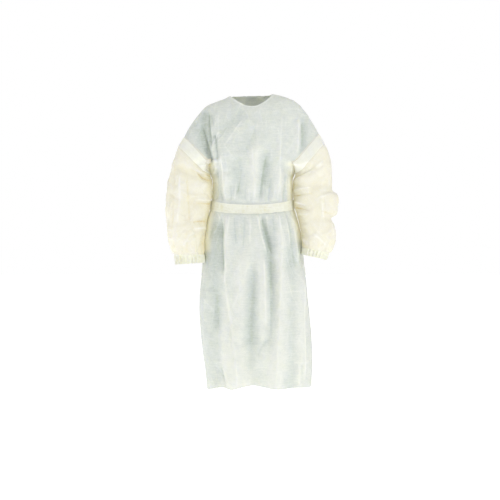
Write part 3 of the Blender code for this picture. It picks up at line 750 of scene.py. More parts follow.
def hem_heights(turn):
    """The height of the hem at each column."""
    x = body_plan(turn, np.full(len(turn), float(HEM_FRONT[-1].z)))[:, 0]
    front = smooth(table_column(HEM_FRONT, "x"), table_column(HEM_FRONT, "z"), x)
    back = smooth(table_column(HEM_BACK, "x"), table_column(HEM_BACK, "z"), x)
    return np.where(np.cos(turn) > 0, front, back)


def body_rings(first):
    """The solids' rings of the body. The first follows the armholes, and the next two blend into the plan."""
    turn = body_turns()
    belt = belt_heights(turn)
    hem = hem_heights(turn)
    top, foot = belt + BELT_WIDTH / 2, belt - BELT_WIDTH / 2
    heights = [first[:, 2] + (top - first[:, 2]) * i / CHEST_ROWS for i in range(1, CHEST_ROWS + 1)]
    heights += [top + (foot - top) * i / BELT_ROWS for i in range(1, BELT_ROWS + 1)]
    heights += [foot + (hem - foot) * i / SKIRT_ROWS for i in range(1, SKIRT_ROWS + 1)]
    rings = [first]
    for row, z in enumerate(heights, 1):
        share = ramp(row / 2)
        kept = np.stack([first[:, 0], first[:, 1], z], axis=1)
        rings.append(kept * (1 - share) + body_plan(turn, z) * share)
    return rings


def tube_ring(ring, turn, squareness=SLEEVE_SQUARENESS):
    """A ring of a sleeve or cuff: from its outer point round by the back to its inner one and on."""
    inner = np.array([ring.inner_x, ring.centre_y, ring.inner_z], float)
    outer = np.array([ring.outer_x, ring.centre_y, ring.outer_z], float)
    across, along = bow(np.cos(turn), squareness)[:, None], bow(np.sin(turn), squareness)[:, None]
    return (inner + outer) / 2 + (outer - inner) / 2 * across + np.array([0, ring.depth, 0]) * along


def sleeve_turns():
    """Each column's angle from the sleeve's outer side, starting at the armhole's front corner."""
    stops = (-SLEEVE_CORNER, SLEEVE_CORNER, 2 * math.pi - SLEEVE_CORNER)
    return spread(stops, (SHOULDER * FINE, UNDERARM * FINE))


def sleeve_rings(side, first):
    """The solids' rings of a sleeve: the armhole seam, the band's rings, and those of the SLEEVES table."""
    turn = sleeve_turns()
    rings = [tube_ring(ring, turn) for ring in SLEEVES[side]]
    start = BAND_START_TOP + (BAND_START_UNDER - BAND_START_TOP) * ((1 - np.cos(turn)) / 2) ** 4
    band = []
    for row in range(BAND_ROWS):
        share = (start + (1 - start) * row / BAND_ROWS)[:, None]
        band.append(first * (1 - share) + rings[0] * share)
    return [first, *band, *rings]


def along_and_aside(line, points):
    """How far along a fold or crease each point lies, as a share, and how far aside, in a front view."""
    x, z = points[:, 0], points[:, 2]
    run = np.array([line.x1 - line.x0, line.z1 - line.z0])
    length = np.linalg.norm(run)
    along = ((x - line.x0) * run[0] + (z - line.z0) * run[1]) / length**2
    aside = ((x - line.x0) * run[1] - (z - line.z0) * run[0]) / length
    return along, aside - 4 * line.bend * along * (1 - along)


def fold_shift(folds, points):
    """How far the folds move each point out of the skin."""
    shift = np.zeros(len(points))
    for fold in folds:
        along, aside = along_and_aside(fold, points)
        fade = ramp(along / FOLD_FADE) * ramp((1 - along) / FOLD_FADE)
        shift += fold.height * fade * np.exp(-((aside / fold.width) ** 2))
    return shift


def crease_shift(creases, points):
    """How far the creases move each point out of the skin, and how near it is to a crest, for painted
    highlight on raised crests and painted shade on sunken ones.
    """
    shift, crest = np.zeros(len(points)), np.zeros(len(points))
    for crease in creases:
        along, aside = along_and_aside(crease, points)
        fade = ramp(along / FOLD_FADE) * ramp((1 - along) / FOLD_FADE)
        width = np.where(aside > 0, crease.right, crease.left)
        away = np.sqrt(aside**2 + CREST_RADIUS**2) - CREST_RADIUS
        shift += crease.height * fade * np.exp(-away / width)
        narrow = min(crease.right, crease.left) < BROAD_CREASE
        strength = np.clip(crease.height / FULL_CREST, -1, 1) * narrow
        crest += strength * fade * np.exp(-((aside / CREST_WIDTH) ** 2))
    return shift, crest


def scattered_creases(scatter, points, outward):
    """Creases at random places and angles on the surface. Each one reaches only the wall that it lies on."""
    random = np.random.default_rng(scatter.seed)
    shift, crest = np.zeros(len(points)), np.zeros(len(points))
    for centre in random.integers(0, len(points), scatter.count):
        length, width = random.uniform(*scatter.length), random.uniform(*scatter.width)
        height = scatter.height * random.uniform(SCATTER_LEAST_HEIGHT, 1.0) * random.choice([1, 1, -1])
        across = random.normal(size=3) + scatter.upright * random.choice([-1, 1]) * np.array([0, 0, 2])
        ahead = unit(across - outward[centre] * (across @ outward[centre]))
        beside = np.cross(outward[centre], ahead)
        near = np.flatnonzero(np.abs(points - points[centre]).max(axis=1) < 2 * length)
        offset = points[near] - points[centre]
        along, aside, inside = offset @ ahead, offset @ beside, offset @ outward[centre]
        aside = aside + SCATTER_WANDER * along * np.sin(along / length * 2 + length)
        fade = np.exp(-2 * (along / length) ** 2 - (inside / SCATTER_DEPTH) ** 2)
        sides = np.where(aside > 0, width, width * random.uniform(SCATTER_LEAST_WIDTH, 1.0))
        away = np.sqrt(aside**2 + SCATTER_BLUNTNESS) - SCATTER_BLUNT_BY
        shift[near] += height * fade * np.exp(-away / sides)
        # Painted highlight on raised creases and painted shade on sunken ones
        crest[near] += height / scatter.height * fade * np.exp(-((aside / CREST_WIDTH) ** 2))
    return shift, crest


def marked_creases(marks, depth):
    """The creases under the marks, on cloth at that depth, as the camera sees it, in whole millimetres."""
    nearer = (depth - EYE[1]) / -EYE[1]

    def place(across, down):
        x, z = (across - ORIGIN_PIXEL[0]) * PIXEL, (ORIGIN_PIXEL[1] - down) * PIXEL
        return round(EYE[0] + (x - EYE[0]) * nearer), round(EYE[2] + (z - EYE[2]) * nearer)

    creases = []
    for mark in marks:
        ends = (*place(mark.across0, mark.down0), *place(mark.across1, mark.down1))
        creases.append(Crease(*ends, round(-mark.bend * PIXEL), mark.right, mark.left, mark.height))
    return creases


def mirrored(creases):
    """The same creases on the other side of the gown."""
    swapped = []
    for c in creases:
        swapped.append(Crease(-c.x0, c.z0, -c.x1, c.z1, -c.bend, c.left, c.right, c.height))
    return swapped


def facets(points, layer, waves=20):
    """Soft facets about as far apart as the layer's size, with sharp crests between them where ridged."""
    random = np.random.default_rng(layer.seed)
    ways = unit(random.normal(size=(waves, 3)))
    rates = 2 * math.pi / layer.size * random.uniform(0.6, 1.5, waves)
    phases = random.uniform(0, 2 * math.pi, waves)
    total = np.sin(points @ (ways * rates[:, None]).T + phases).sum(axis=1) / math.sqrt(waves / 2)
    return 0.8 - np.abs(total) if layer.ridged else 0.6 * total


def ring_gathers(turn, least, most, seed, waves=14):
    """Uneven gathers round a closed ring, at least and at most so many, from about -1 to 1."""
    random = np.random.default_rng(seed)
    total = np.zeros(len(turn))
    for count in random.integers(least, most, waves):
        total += np.sin(count * turn + random.uniform(0, 2 * math.pi))
    return total / math.sqrt(waves / 2) * 0.7


class Skin:
    """The gown's surface: points in millimetres, numbered grids of them, and the way out at each point."""

    def __init__(self, crumple, creasing):
        self.points = np.zeros((0, 3))
        self.quads = []
        self.creasing = creasing
        self.add_yoke()
        self.add_body()
        self.sleeves, self.sleeve_keys = {}, {}
        for side in SLEEVES:
            self.add_sleeve(side)
        self.quads = np.concatenate(self.quads)
        self.outward = self.directions()
        self.shift = np.zeros(len(self.points))
        self.painted_crests = np.zeros(len(self.points))
        front = -self.outward[:, 1]
        self.facing = {"front": ramp(front / FOLD_FACING), "back": ramp(-front / FOLD_FACING)}
        self.sleeve_share = np.zeros(len(self.points))
        self.calm = np.ones(len(self.points))
        self.fold_torso()
        for side in SLEEVES:
            self.fold_sleeve(side)
        # Painted shade and highlight: how far the folds move the cloth becomes its tone, with less of it on
        # the sleeves and pale sleeve heads
        self.relief = np.clip(self.shift / FULL_RELIEF, *RELIEF_RANGE)
        for side, grid in self.sleeves.items():
            self.relief[grid[1:]] *= SLEEVE_RELIEF
            head = grid[1 : self.sleeve_keys[side][BAND_ROWS + 1]]
            self.relief[head] = np.maximum(self.relief[head], HEAD_RELIEF)
        self.painted_crests *= np.clip(CREST_USUAL + CREST_SWING * facets(self.points, CREST_LAYER), *CREST_RANGE)
        self.crumple(crumple)
        self.crease_at_random(crumple)
        self.gather_at_belt()
        for side in SLEEVES:
            self.gather_at_cuff(side)
        self.points = self.points + self.outward * self.shift[:, None]
        self.sag_underarms()
        self.nearness = {side: self.torso_gap(side) for side in SLEEVES}
        # Painted shade on each sleeve's inner side by the torso, and the painted light of that sleeve on the
        # torso beside it
        self.nestled = np.zeros(len(self.points))
        for side, grid in self.sleeves.items():
            ids = grid[1:]
            self.relief[ids] -= ARM_REST_TONE * self.beside_torso(side, self.points[ids], ARM_REST_SHADE)
            self.points[ids] = self.drawn_to_torso(side, self.points[ids])
            self.nestled[self.body] += self.under_arm(side, self.points[self.body])
        self.outward = self.directions()

    def add(self, points):
        first = len(self.points)
        self.points = np.concatenate([self.points, points])
        return np.arange(first, len(self.points))

    def add_rows(self, rows):
        return np.array([self.add(row) for row in rows])

    def add_yoke(self):
        rings = [yoke_ring(level) for level in range(len(YOKE))]
        keys = fine_rows(rings, YOKE_SPACING)[1]
        levels = np.interp(np.arange(keys[-1] + 1), keys, range(len(YOKE)))
        self.yoke_keys = keys
        self.yoke = self.add_rows(yoke_ring(level) for level in levels)
        self.quads.append(grid_corners(closed(self.yoke)))

    def add_body(self):
        last = self.yoke[-1]
        back, shoulder, front = BACK * FINE, SHOULDER * FINE, FRONT * FINE
        corner = {
            "right_back": last[back],
            "right_front": last[back + shoulder],
            "left_front": last[back + shoulder + front],
            "left_back": last[back + 2 * shoulder + front],
        }
        self.underarm = {}
        for side in SLEEVES:
            ends = self.points[corner[side + "_front"]], self.points[corner[side + "_back"]]
            self.underarm[side] = self.add(underarm_points(*ends))
        stretches = (
            last[: back + 1],
            self.underarm["right"][::-1],
            last[back + shoulder : back + shoulder + front + 1],
            self.underarm["left"],
            last[back + 2 * shoulder + front :],
        )
        first = np.concatenate(stretches)
        rows, self.body_keys = fine_rows(body_rings(self.points[first]), BODY_SPACING)
        self.body = np.concatenate([first[None], self.add_rows(rows[1:])])
        self.quads.append(grid_corners(closed(self.body)))

    def add_sleeve(self, side):
        last = self.yoke[-1]
        back, shoulder, front = BACK * FINE, SHOULDER * FINE, FRONT * FINE
        if side == "left":
            outer = last[back + shoulder + front : back + 2 * shoulder + front + 1]
        else:
            outer = last[back : back + shoulder + 1][::-1]
        first = np.concatenate([outer, self.underarm[side][::-1]])
        rows, self.sleeve_keys[side] = fine_rows(sleeve_rings(side, self.points[first]), SLEEVE_SPACING)
        self.sleeves[side] = np.concatenate([first[None], self.add_rows(rows[1:])])
        self.quads.append(sleeve_quads(side, closed(self.sleeves[side])))

    def directions(self):
        """The way out at each point, from the faces round it."""
        a, d, c, b = (self.points[self.quads[:, i]] for i in range(4))
        facing = unit(np.cross(c - a, b - d))
        corners = self.quads.T.ravel()
        repeated = np.tile(facing, (4, 1))
        count = len(self.points)
        total = [np.bincount(corners, repeated[:, i], count) for i in range(3)]
        return unit(np.stack(total, axis=1))

    def belt_distance(self):
        """How far each point of the body's rows is above or below the belt's edges."""
        return np.abs(self.points[self.body, 2] - belt_heights(body_turns())) - BELT_WIDTH / 2

    def fold_torso(self):
        """Folds stop at the belt, and creases run closer to it."""
        torso = np.unique(np.concatenate([self.yoke.ravel(), self.body.ravel()]))
        from_belt = np.full(len(self.points), PINCH_REACH)
        from_belt[self.body] = self.belt_distance()
        self.calm[torso] = ramp(from_belt[torso] / CREASE_PINCH_REACH)
        folded = ramp(from_belt[torso] / PINCH_REACH)
        front_creases = marked_creases(FRONT_MARKS, FRONT_DEPTH) + list(FRONT_CREASES)
        sides = (("front", FRONT_FOLDS, front_creases), ("back", BACK_FOLDS, BACK_CREASES))
        for way, folds, creases in sides:
            creased, crest = crease_shift(creases, self.points[torso])
            moved = fold_shift(folds, self.points[torso]) * folded
            moved += creased * self.creasing * self.calm[torso]
            self.shift[torso] += moved * self.facing[way][torso]
            self.painted_crests[torso] += crest * self.calm[torso] * self.facing[way][torso]

    def row_numbers(self, side):
        """The number of each fine row of a sleeve, counted in the solids' rows."""
        keys = self.sleeve_keys[side]
        return np.interp(np.arange(keys[-1] + 1), keys, range(len(keys)))

    def fold_sleeve(self, side):
        """A sleeve's first rows follow the folds of its seam."""
        grid = self.sleeves[side]
        other = "left" if side == "right" else "right"
        rows = self.row_numbers(side)[:, None]
        last = rows[-1]
        ids = grid[1:].ravel()
        points = self.points[ids]
        tables = (
            ("front", SLEEVE_FRONT_FOLDS[side], marked_creases(SLEEVE_MARKS[side], SLEEVE_DEPTH)),
            ("back", SLEEVE_BACK_FOLDS[side], mirrored(marked_creases(SLEEVE_MARKS[other], SLEEVE_DEPTH))),
        )
        fade = (ramp((rows - 1) / 3) * ramp((last - rows) / 2) * np.ones(grid.shape))[1:].ravel()
        for way, folds, creases in tables:
            creased, crest = crease_shift(creases, points)
            moved = fold_shift(folds, points) * SLEEVE_FOLDING[side] + creased * self.creasing
            self.shift[ids] += moved * self.facing[way][ids] * fade
            self.painted_crests[ids] += crest * self.facing[way][ids] * fade
        follow = 1 - ramp((rows[1:] - 1) / SEAM_FADE_ROWS)
        self.shift[grid[1:]] += self.shift[grid[0]] * follow
        self.sleeve_share[grid[1:]] = ramp(rows[1:] / 5)
        self.calm[grid[1:]] = ramp((last - rows[1:]) / 0.7)

    def crumple(self, strength):
        """Soft facets all over: long and upright ones on the body, and deeper ones on the sleeves."""
        upright = self.points * np.array(CRUMPLE_UPRIGHT)
        for layer in CRUMPLE:
            on_body = facets(upright, layer) * layer.body
            on_sleeve = facets(self.points + CRUMPLE_SHIFT, layer) * layer.sleeve
            moved = on_body + (on_sleeve - on_body) * self.sleeve_share
            self.shift += moved * self.calm * strength

    def crease_at_random(self, strength):
        torso = np.unique(np.concatenate([self.yoke.ravel(), self.body.ravel()]))
        places = [(torso, BODY_SCATTER, 1.0)]
        for side, grid in self.sleeves.items():
            places.append((grid[1:].ravel(), SLEEVE_SCATTER[side], self.sleeve_share[grid[1:].ravel()]))
        for ids, scatter, share in places:
            creased, crest = scattered_creases(scatter, self.points[ids], self.outward[ids])
            self.shift[ids] += creased * self.calm[ids] * share * strength
            self.painted_crests[ids] += crest * self.calm[ids] * share * SCATTER_CREST

    def gather_at_belt(self):
        turn = body_turns()
        ring = self.points[self.body[self.body_keys[CHEST_ROWS]]]
        perimeter = np.linalg.norm(np.diff(ring, axis=0), axis=1)
        usual = int(perimeter.sum() / GATHER_SPACING)
        waves = ring_gathers(turn, usual // 2, int(usual * 1.3), BELT_GATHER_SEED)
        distance = np.maximum(self.belt_distance(), 0)
        reach = np.exp(-distance / BELT_GATHER_REACH) * ramp(distance / BELT_GATHER_FLAT)
        self.shift[self.body] += BELT_GATHER * waves * reach

    def gather_at_cuff(self, side):
        grid = self.sleeves[side]
        distance = (np.arange(len(grid))[::-1] * SLEEVE_SPACING)[:, None]
        waves = ring_gathers(sleeve_turns(), *CUFF_GATHER_NUMBER, CUFF_GATHER_SEED + len(side))
        reach = np.exp(-distance / CUFF_GATHER_REACH * 2) * ramp(distance / CUFF_GATHER_FLAT)
        reach = reach * ramp((CUFF_GATHER_REACH * 2 - distance) / CUFF_GATHER_FADE)
        self.shift[grid] += CUFF_GATHER * waves * reach

    def sag_underarms(self):
        """The cloth under each arm sags down and in."""
        for away in (-1, 1):
            across, up = self.points[:, 0] - away * UNDERARM_PLACE[0], self.points[:, 2] - UNDERARM_PLACE[1]
            share = np.exp(-(across**2 + up**2) / (2 * UNDERARM_REACH**2))
            self.points += share[:, None] * np.array([-away * UNDERARM_SAG[0], 0.0, -UNDERARM_SAG[1]])

    def torso_gap(self, side):
        """Levels, how far in the sleeve's inner side has to come to lie on the torso, and where it is."""
        away = 1 if side == "left" else -1
        levels = np.arange(ARM_REST_LOW[side], ARM_REST_TOP, GAP_STEP)
        torso, sleeve = self.points[self.body[1:].ravel()], self.points[self.sleeves[side][1:].ravel()]
        torso = torso[away * torso[:, 0] > GAP_TORSO_FROM]
        gaps, edges = [], []
        for level in levels:
            torso_cut, sleeve_cut = (each[np.abs(each[:, 2] - level) < GAP_SLICE] for each in (torso, sleeve))
            torso_cut = torso_cut[np.argsort(torso_cut[:, 1])]
            edge = (away * sleeve_cut[:, 0]).min()
            inner = sleeve_cut[away * sleeve_cut[:, 0] < edge + GAP_STRIP]
            outline = np.interp(inner[:, 1] - ARM_REST_FORWARD, torso_cut[:, 1], away * torso_cut[:, 0])
            belt = ramp(1.5 - abs(level - BELT_SIDE_Z) / BELT_WIDTH)
            room = (away * inner[:, 0] - outline).min()
            gaps.append(max(room - ARM_REST_CLEARANCE - BELT_CLEARANCE * belt, 0))
            edges.append(edge)
        even = np.ones(GAP_EVENED) / GAP_EVENED
        gaps = np.convolve(np.pad(gaps, GAP_EVENED // 2, mode="edge"), even, mode="valid")
        gaps *= ramp((ARM_REST_TOP - levels) / ARM_REST_FADE)
        return levels, gaps, np.array(edges)

    def beside_torso(self, side, points, reach, on_torso=False):
        """1 at the sleeve's inner edge, or where that comes to lie on the torso, and 0 beyond the reach."""
        away = 1 if side == "left" else -1
        levels, gaps, edges = self.nearness[side]
        edge = np.interp(points[..., 2], levels, edges - gaps * on_torso)
        return ramp(1 - np.abs(away * points[..., 0] - edge) / reach)

    def under_arm(self, side, points):
        """1 where the torso is close to the sleeve's inner edge, at the heights where they lie together,
        where the light through the sleeve is painted on it.
        """
        heights = ramp((points[..., 2] - ARM_REST_LOW[side]) / ARM_REST_FADE)
        heights = heights * ramp((ARM_REST_TOP - points[..., 2]) / ARM_REST_FADE)
        return heights * self.beside_torso(side, points, ARM_REST_SHADE, on_torso=True)

    def drawn_to_torso(self, side, points):
        """The sleeve's points with its inner side drawn in to lie against the torso."""
        away = 1 if side == "left" else -1
        levels, gaps, _ = self.nearness[side]
        gap = np.interp(points[..., 2], levels, gaps)
        inner = self.beside_torso(side, points, ARM_REST_REACH)
        forward = ARM_REST_FORWARD * ramp((ARM_REST_TOP - points[..., 2]) / ARM_REST_FADE)
        return points - np.stack([away * gap, forward, 0 * gap], axis=-1) * inner[..., None]

    def between_rows(self, rows):
        """The points and ways out of the body's columns at those rows, which may lie between two of them."""
        columns = np.arange(self.body.shape[1])
        lower = np.floor(rows).astype(int)
        part = (rows - lower)[..., None]
        a, b = self.body[lower, columns], self.body[lower + 1, columns]
        points = self.points[a] * (1 - part) + self.points[b] * part
        return points, unit(self.outward[a] * (1 - part) + self.outward[b] * part)

    def laid(self, grid, lifts):
        """The skin's points with those of the grid's rows moved out."""
        points = self.points.copy()
        points[grid] += self.outward[grid] * np.broadcast_to(lifts, grid.shape)[..., None]
        return points


@lru_cache(maxsize=1)
def skin_made(crumple, creasing):
    return Skin(crumple, creasing)


def gown_skin(sizes):
    """The skin for these sizes, which all the pieces share."""
    return skin_made(sizes.crumple, sizes.creasing)


def closed(grid):
    """The grid with its first column again after its last, so that its rings close."""
    return np.concatenate([grid, grid[:, :1]], axis=1)


def grid_corners(grid):
    """The four corners of each cell, in the order of a face that points out."""
    corners = (grid[:-1, :-1], grid[1:, :-1], grid[1:, 1:], grid[:-1, 1:])
    return np.stack([corner.reshape(-1, *grid.shape[2:]) for corner in corners], axis=1)


def sleeve_quads(side, grid):
    """A left sleeve's columns run the same way round as the body's, a right one's the other way."""
    quads = grid_corners(grid)
    return quads if side == "left" else quads[:, ::-1]


def round_columns(grid, first, last):
    """The grid's columns from first to last, counted round past the back centre where that runs over."""
    return grid[:, np.arange(first, last + 1) % grid.shape[1]]


def flat_upright(points, grid, centre):
    """Cloth coordinates of a panel: along its rows from the centre column, and its height."""
    placed = points[grid]
    steps = np.linalg.norm(np.diff(placed, axis=1), axis=2)
    across = np.concatenate([np.zeros((len(grid), 1)), np.cumsum(steps, axis=1)], axis=1)
    across -= across[:, centre : centre + 1]
    return np.stack([across, placed[..., 2]], axis=-1)


def flat_along(points, grid):
    """Cloth coordinates of a tube or strip: round its rings, and down it."""
    placed = points[grid]
    steps = np.linalg.norm(np.diff(placed, axis=1), axis=2).mean(axis=0)
    across = np.concatenate([[0.0], np.cumsum(steps)])
    rows = np.linalg.norm(np.diff(placed, axis=0), axis=2).mean(axis=1)
    down = np.concatenate([[0.0], np.cumsum(rows)])
    return np.stack(np.broadcast_arrays(across[None], -down[:, None]), axis=-1)


def border_edges(quads, flat):
    """The edges that only one face has, in its direction, and the cloth coordinates of their ends."""
    starts, ends = quads.ravel(), np.roll(quads, -1, axis=1).ravel()
    flat_starts, flat_ends = flat.reshape(-1, 2), np.roll(flat, -1, axis=1).reshape(-1, 2)
    count = quads.max() + 1
    keys = np.minimum(starts, ends) * count + np.maximum(starts, ends)
    _, where, counts = np.unique(keys, return_inverse=True, return_counts=True)
    single = counts[where] == 1
    return starts[single], ends[single], flat_starts[single], flat_ends[single]


def quad_mesh(name, points, faces, flat):
    """A smooth mesh of four-sided faces with its cloth coordinates as a UV map."""
    mesh = bpy.data.meshes.new(name)
    mesh.vertices.add(len(points))
    mesh.vertices.foreach_set("co", (points * MM).ravel())
    mesh.loops.add(faces.size)
    mesh.loops.foreach_set("vertex_index", faces.ravel())
    mesh.polygons.add(len(faces))
    mesh.polygons.foreach_set("loop_start", np.arange(len(faces)) * 4)
    mesh.update(calc_edges=True)
    layer = mesh.uv_layers.new(name="Cloth")
    layer.uv.foreach_set("vector", (flat * MM / CLOTH_UNIT + 0.5).ravel())
    mesh.validate()
    mesh.shade_smooth()
    mesh.set_sharp_from_angle(angle=SHARP_ANGLE)
    return mesh


def shell(name, points, outward, grids, flats, thickness, inward=False, inset=SEAM_GAP / 2, marks=None):
    """A thin closed shell round the grids' surface, with its edge drawn in by the inset.

    Inward says that the grids' faces point inwards as numbered. Marks are values at the points, by name.
    """
    quads = np.concatenate([grid_corners(grid) for grid in grids])
    flat = np.concatenate([grid_corners(each) for each in flats])
    if inward:
        quads, flat = quads[:, ::-1], flat[:, ::-1]
    used, places = np.unique(quads, return_inverse=True)
    quads = places.reshape(quads.shape)
    points, outward = points[used].copy(), outward[used]
    starts, ends, flat_starts, flat_ends = border_edges(quads, flat)
    along = np.zeros_like(points)
    step = unit(points[ends] - points[starts])
    for i in range(3):
        along[:, i] += np.bincount(starts, step[:, i], len(points))
        along[:, i] += np.bincount(ends, step[:, i], len(points))
    edge = np.unique(starts)
    points[edge] += inset * unit(np.cross(outward[edge], along[edge]))
    count = len(points)
    both = np.concatenate([points + outward * thickness / 2, points - outward * thickness / 2])
    rim = np.stack([ends, starts, starts + count, ends + count], axis=1)
    rim_flat = np.stack([flat_ends, flat_starts, flat_starts, flat_ends], axis=1)
    faces = np.concatenate([quads, quads[:, ::-1] + count, rim])
    mesh = quad_mesh(name, both, faces, np.concatenate([flat, flat[:, ::-1], rim_flat]))
    for mark, values in (marks or {}).items():
        mesh.attributes.new(mark, "FLOAT", "POINT").data.foreach_set("value", np.tile(values[used], 2))
    return add_object(name, mesh)


def strip_shell(name, points, outward, grid, sizes, **more):
    """A shell of doubled cloth round one grid."""
    return shell(name, points, outward, [grid], [flat_along(points, grid)], sizes.trim / MM, **more)


def add_object(name, data):
    """A new object of that mesh, light or camera, in the scene."""
    added = bpy.data.objects.new(name, data)
    bpy.context.scene.collection.objects.link(added)
    return added


def finish_piece(piece, material, slot, *nodes):
    """Gives a piece its material and lets it stand for its solids. The slot is not used."""
    piece.data.materials.clear()
    piece.data.materials.append(material)
    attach(piece, "root")
    if nodes:
        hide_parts(*nodes)
    return piece


def side_columns():
    """The yoke's and the body's columns where the front meets the back: on the right side, then the left."""
    yoke = ((BACK + SHOULDER // 2) * FINE, (BACK + FRONT + SHOULDER * 3 // 2) * FINE)
    body = ((BACK + UNDERARM // 2) * FINE, (BACK + FRONT + UNDERARM * 3 // 2) * FINE)
    return yoke, body


def panel_marks(skin):
    """Where a panel is doubled, the painted shade and highlight of its folds and crests, and the painted
    light beside the sleeves.
    """
    doubled = np.zeros(len(skin.points))
    doubled[skin.yoke[:2]] = NECK_DOUBLED
    return {"doubled": doubled, "relief": skin.relief, "crest": skin.painted_crests, "nestled": skin.nestled}


def make_front(skin, sizes, material):
    panel = [round_columns(grid, *sides) for grid, sides in zip((skin.yoke, skin.body), side_columns())]
    flats = [flat_upright(skin.points, grid, grid.shape[1] // 2) for grid in panel]
    marks = panel_marks(skin)
    piece = shell("front_cloth", skin.points, skin.outward, panel, flats, sizes.cloth / MM, marks=marks)
    finish_piece(piece, material, "nonwoven_cloth", "front")


def make_backs(skin, sizes, material):
    """The two back panels. The left one laps over the right one, which is drawn in under it."""
    yoke_sides, body_sides = side_columns()
    yoke_end, body_end, lap = skin.yoke.shape[1], skin.body.shape[1], LAP * FINE
    grids = {
        "back_left": [
            round_columns(skin.yoke, yoke_sides[1], yoke_end + lap),
            round_columns(skin.body, body_sides[1], body_end + lap),
        ],
        "back_right": [
            round_columns(skin.yoke, -lap, yoke_sides[0]),
            round_columns(skin.body, -lap, body_sides[0]),
        ],
    }
    for name, panel in grids.items():
        points = skin.points.copy()
        centres = [grid.shape[1] - 1 - lap for grid in panel]
        if name == "back_right":
            centres = [lap, lap]
            for grid in panel:
                column = np.arange(grid.shape[1]) - lap
                drawn_in = BACK_LAP * np.clip((lap + 2 * FINE - column) / (2 * FINE), 0, 1)
                points[grid] = skin.points[grid] - skin.outward[grid] * drawn_in[None, :, None]
        flats = [flat_upright(points, grid, centre) for grid, centre in zip(panel, centres)]
        marks = panel_marks(skin)
        piece = shell(name + "_cloth", points, skin.outward, panel, flats, sizes.cloth / MM, marks=marks)
        finish_piece(piece, material, "nonwoven_cloth", name)


def welted(grid, points, lift):
    """How far out each row of a strip lies: its long edges are folded, so they stand a little proud."""
    rows = np.linalg.norm(np.diff(points[grid], axis=0), axis=2).mean(axis=1)
    down = np.concatenate([[0.0], np.cumsum(rows)])
    edge = np.minimum(down, down[-1] - down)
    return lift + WELT * np.exp(-((edge / WELT_WIDTH) ** 2))[:, None]


def make_sleeves(skin, sizes, material):
    marks = {"relief": skin.relief, "crest": skin.painted_crests}
    for side, sleeve in skin.sleeves.items():
        grid = closed(sleeve)
        flats = [flat_along(skin.points, grid)]
        name = f"sleeve_{side}_cloth"
        inward = side == "right"
        piece = shell(name, skin.points, skin.outward, [grid], flats, sizes.cloth / MM, inward, marks=marks)
        finish_piece(piece, material, "nonwoven_cloth", f"sleeve_{side}")


def make_bands(skin, sizes, material):
    """The doubled bands that lie round the sleeve heads, just below the armhole seams."""
    marks = {"relief": np.full(len(skin.points), BAND_RELIEF)}
    for side, sleeve in skin.sleeves.items():
        keys = skin.sleeve_keys[side]
        grid = closed(sleeve[keys[1] : keys[BAND_ROWS + 1] + 1])
        points = skin.laid(grid, welted(grid, skin.points, LIFT))
        name = f"sleeve_band_{side}_cloth"
        piece = strip_shell(name, points, skin.outward, grid, sizes, inward=side == "right", marks=marks)
        finish_piece(piece, material, "doubled_cloth", f"sleeve_band_{side}")


def cuff_skin(skin, side):
    """The points and ways out of a cuff, gathered unevenly by its elastic."""
    turn = spread((0, 2 * math.pi), (CUFF_COLUMNS,))
    along = np.linspace(0, 1, CUFF_ROWS)
    keys = table_column(CUFF_RINGS, "along")
    narrowing = smooth(keys, table_column(CUFF_RINGS, "narrowing"), along)
    gathers = smooth(keys, table_column(CUFF_RINGS, "gathers"), along)
    wander, ruffle = (seed + len(side) for seed in CUFF_SEEDS)
    uneven = turn + CUFF_WANDER * ring_gathers(turn, 3, 9, wander)
    waves = np.cos(CUFF_GATHERS * uneven) + CUFF_RUFFLE * ring_gathers(turn, 30, 60, ruffle)
    start, end = SLEEVES[side][-1], CUFFS[side]
    points, outward = [], []
    for share, narrow, gather in zip(along, narrowing, gathers):
        place = CuffEnd(*[a + (b - a) * share for a, b in zip(start, end)])
        ring = tube_ring(place._replace(depth=place.depth * narrow), turn)
        way = unit((ring - ring.mean(axis=0)) * np.array([1, 1, 0.15]))
        sway = 1 + CUFF_SWAY * np.cos(CUFF_GATHERS * 0.5 * turn + 4 * share)
        points.append(ring + way * (waves * sway * gather)[:, None])
        outward.append(way)
    grid = closed(np.arange(CUFF_ROWS * CUFF_COLUMNS).reshape(CUFF_ROWS, CUFF_COLUMNS))
    return skin.drawn_to_torso(side, np.concatenate(points)), np.concatenate(outward), grid


def make_cuffs(skin, sizes, material):
    for side in CUFFS:
        points, outward, grid = cuff_skin(skin, side)
        marks = {"relief": np.full(len(points), TRIM_RELIEF)}
        name = f"cuff_{side}_cloth"
        piece = strip_shell(name, points, outward, grid, sizes, inward=side == "right", marks=marks)
        finish_piece(piece, material, "doubled_cloth", f"cuff_{side}")


def belt_creases(points):
    """Small creases, drawn out upright across the belt."""
    return facets(points * np.array(BELT_UPRIGHT), BELT_CREASES)


def belt_skin(skin):
    """The points and ways out of the belt, which lies on the panels, sags and lies a little unevenly."""
    first, last = skin.body_keys[CHEST_ROWS], skin.body_keys[CHEST_ROWS + BELT_ROWS]
    turn = body_turns()
    sag = BELT_SAG * np.maximum(np.cos(turn), 0) ** 1.5 - BELT_LEFT_RISE * np.maximum(np.sin(turn), 0)
    rows = np.arange(first, last + 1)[:, None] + sag / BODY_SPACING
    points, outward = skin.between_rows(rows)
    ring = np.arange(points[..., 0].size).reshape(rows.shape)
    points, outward = points.reshape(-1, 3), outward.reshape(-1, 3)
    grid = closed(ring)
    lift = welted(grid, points, LIFT)[:, :1] * np.ones(rows.shape)
    lift += BELT_SWAY * np.abs(facets(points, BELT_SWAYS)).reshape(rows.shape)
    lift += BELT_CREASE * np.maximum(belt_creases(points), 0).reshape(rows.shape)
    return points + outward * lift.reshape(-1, 1), outward, grid


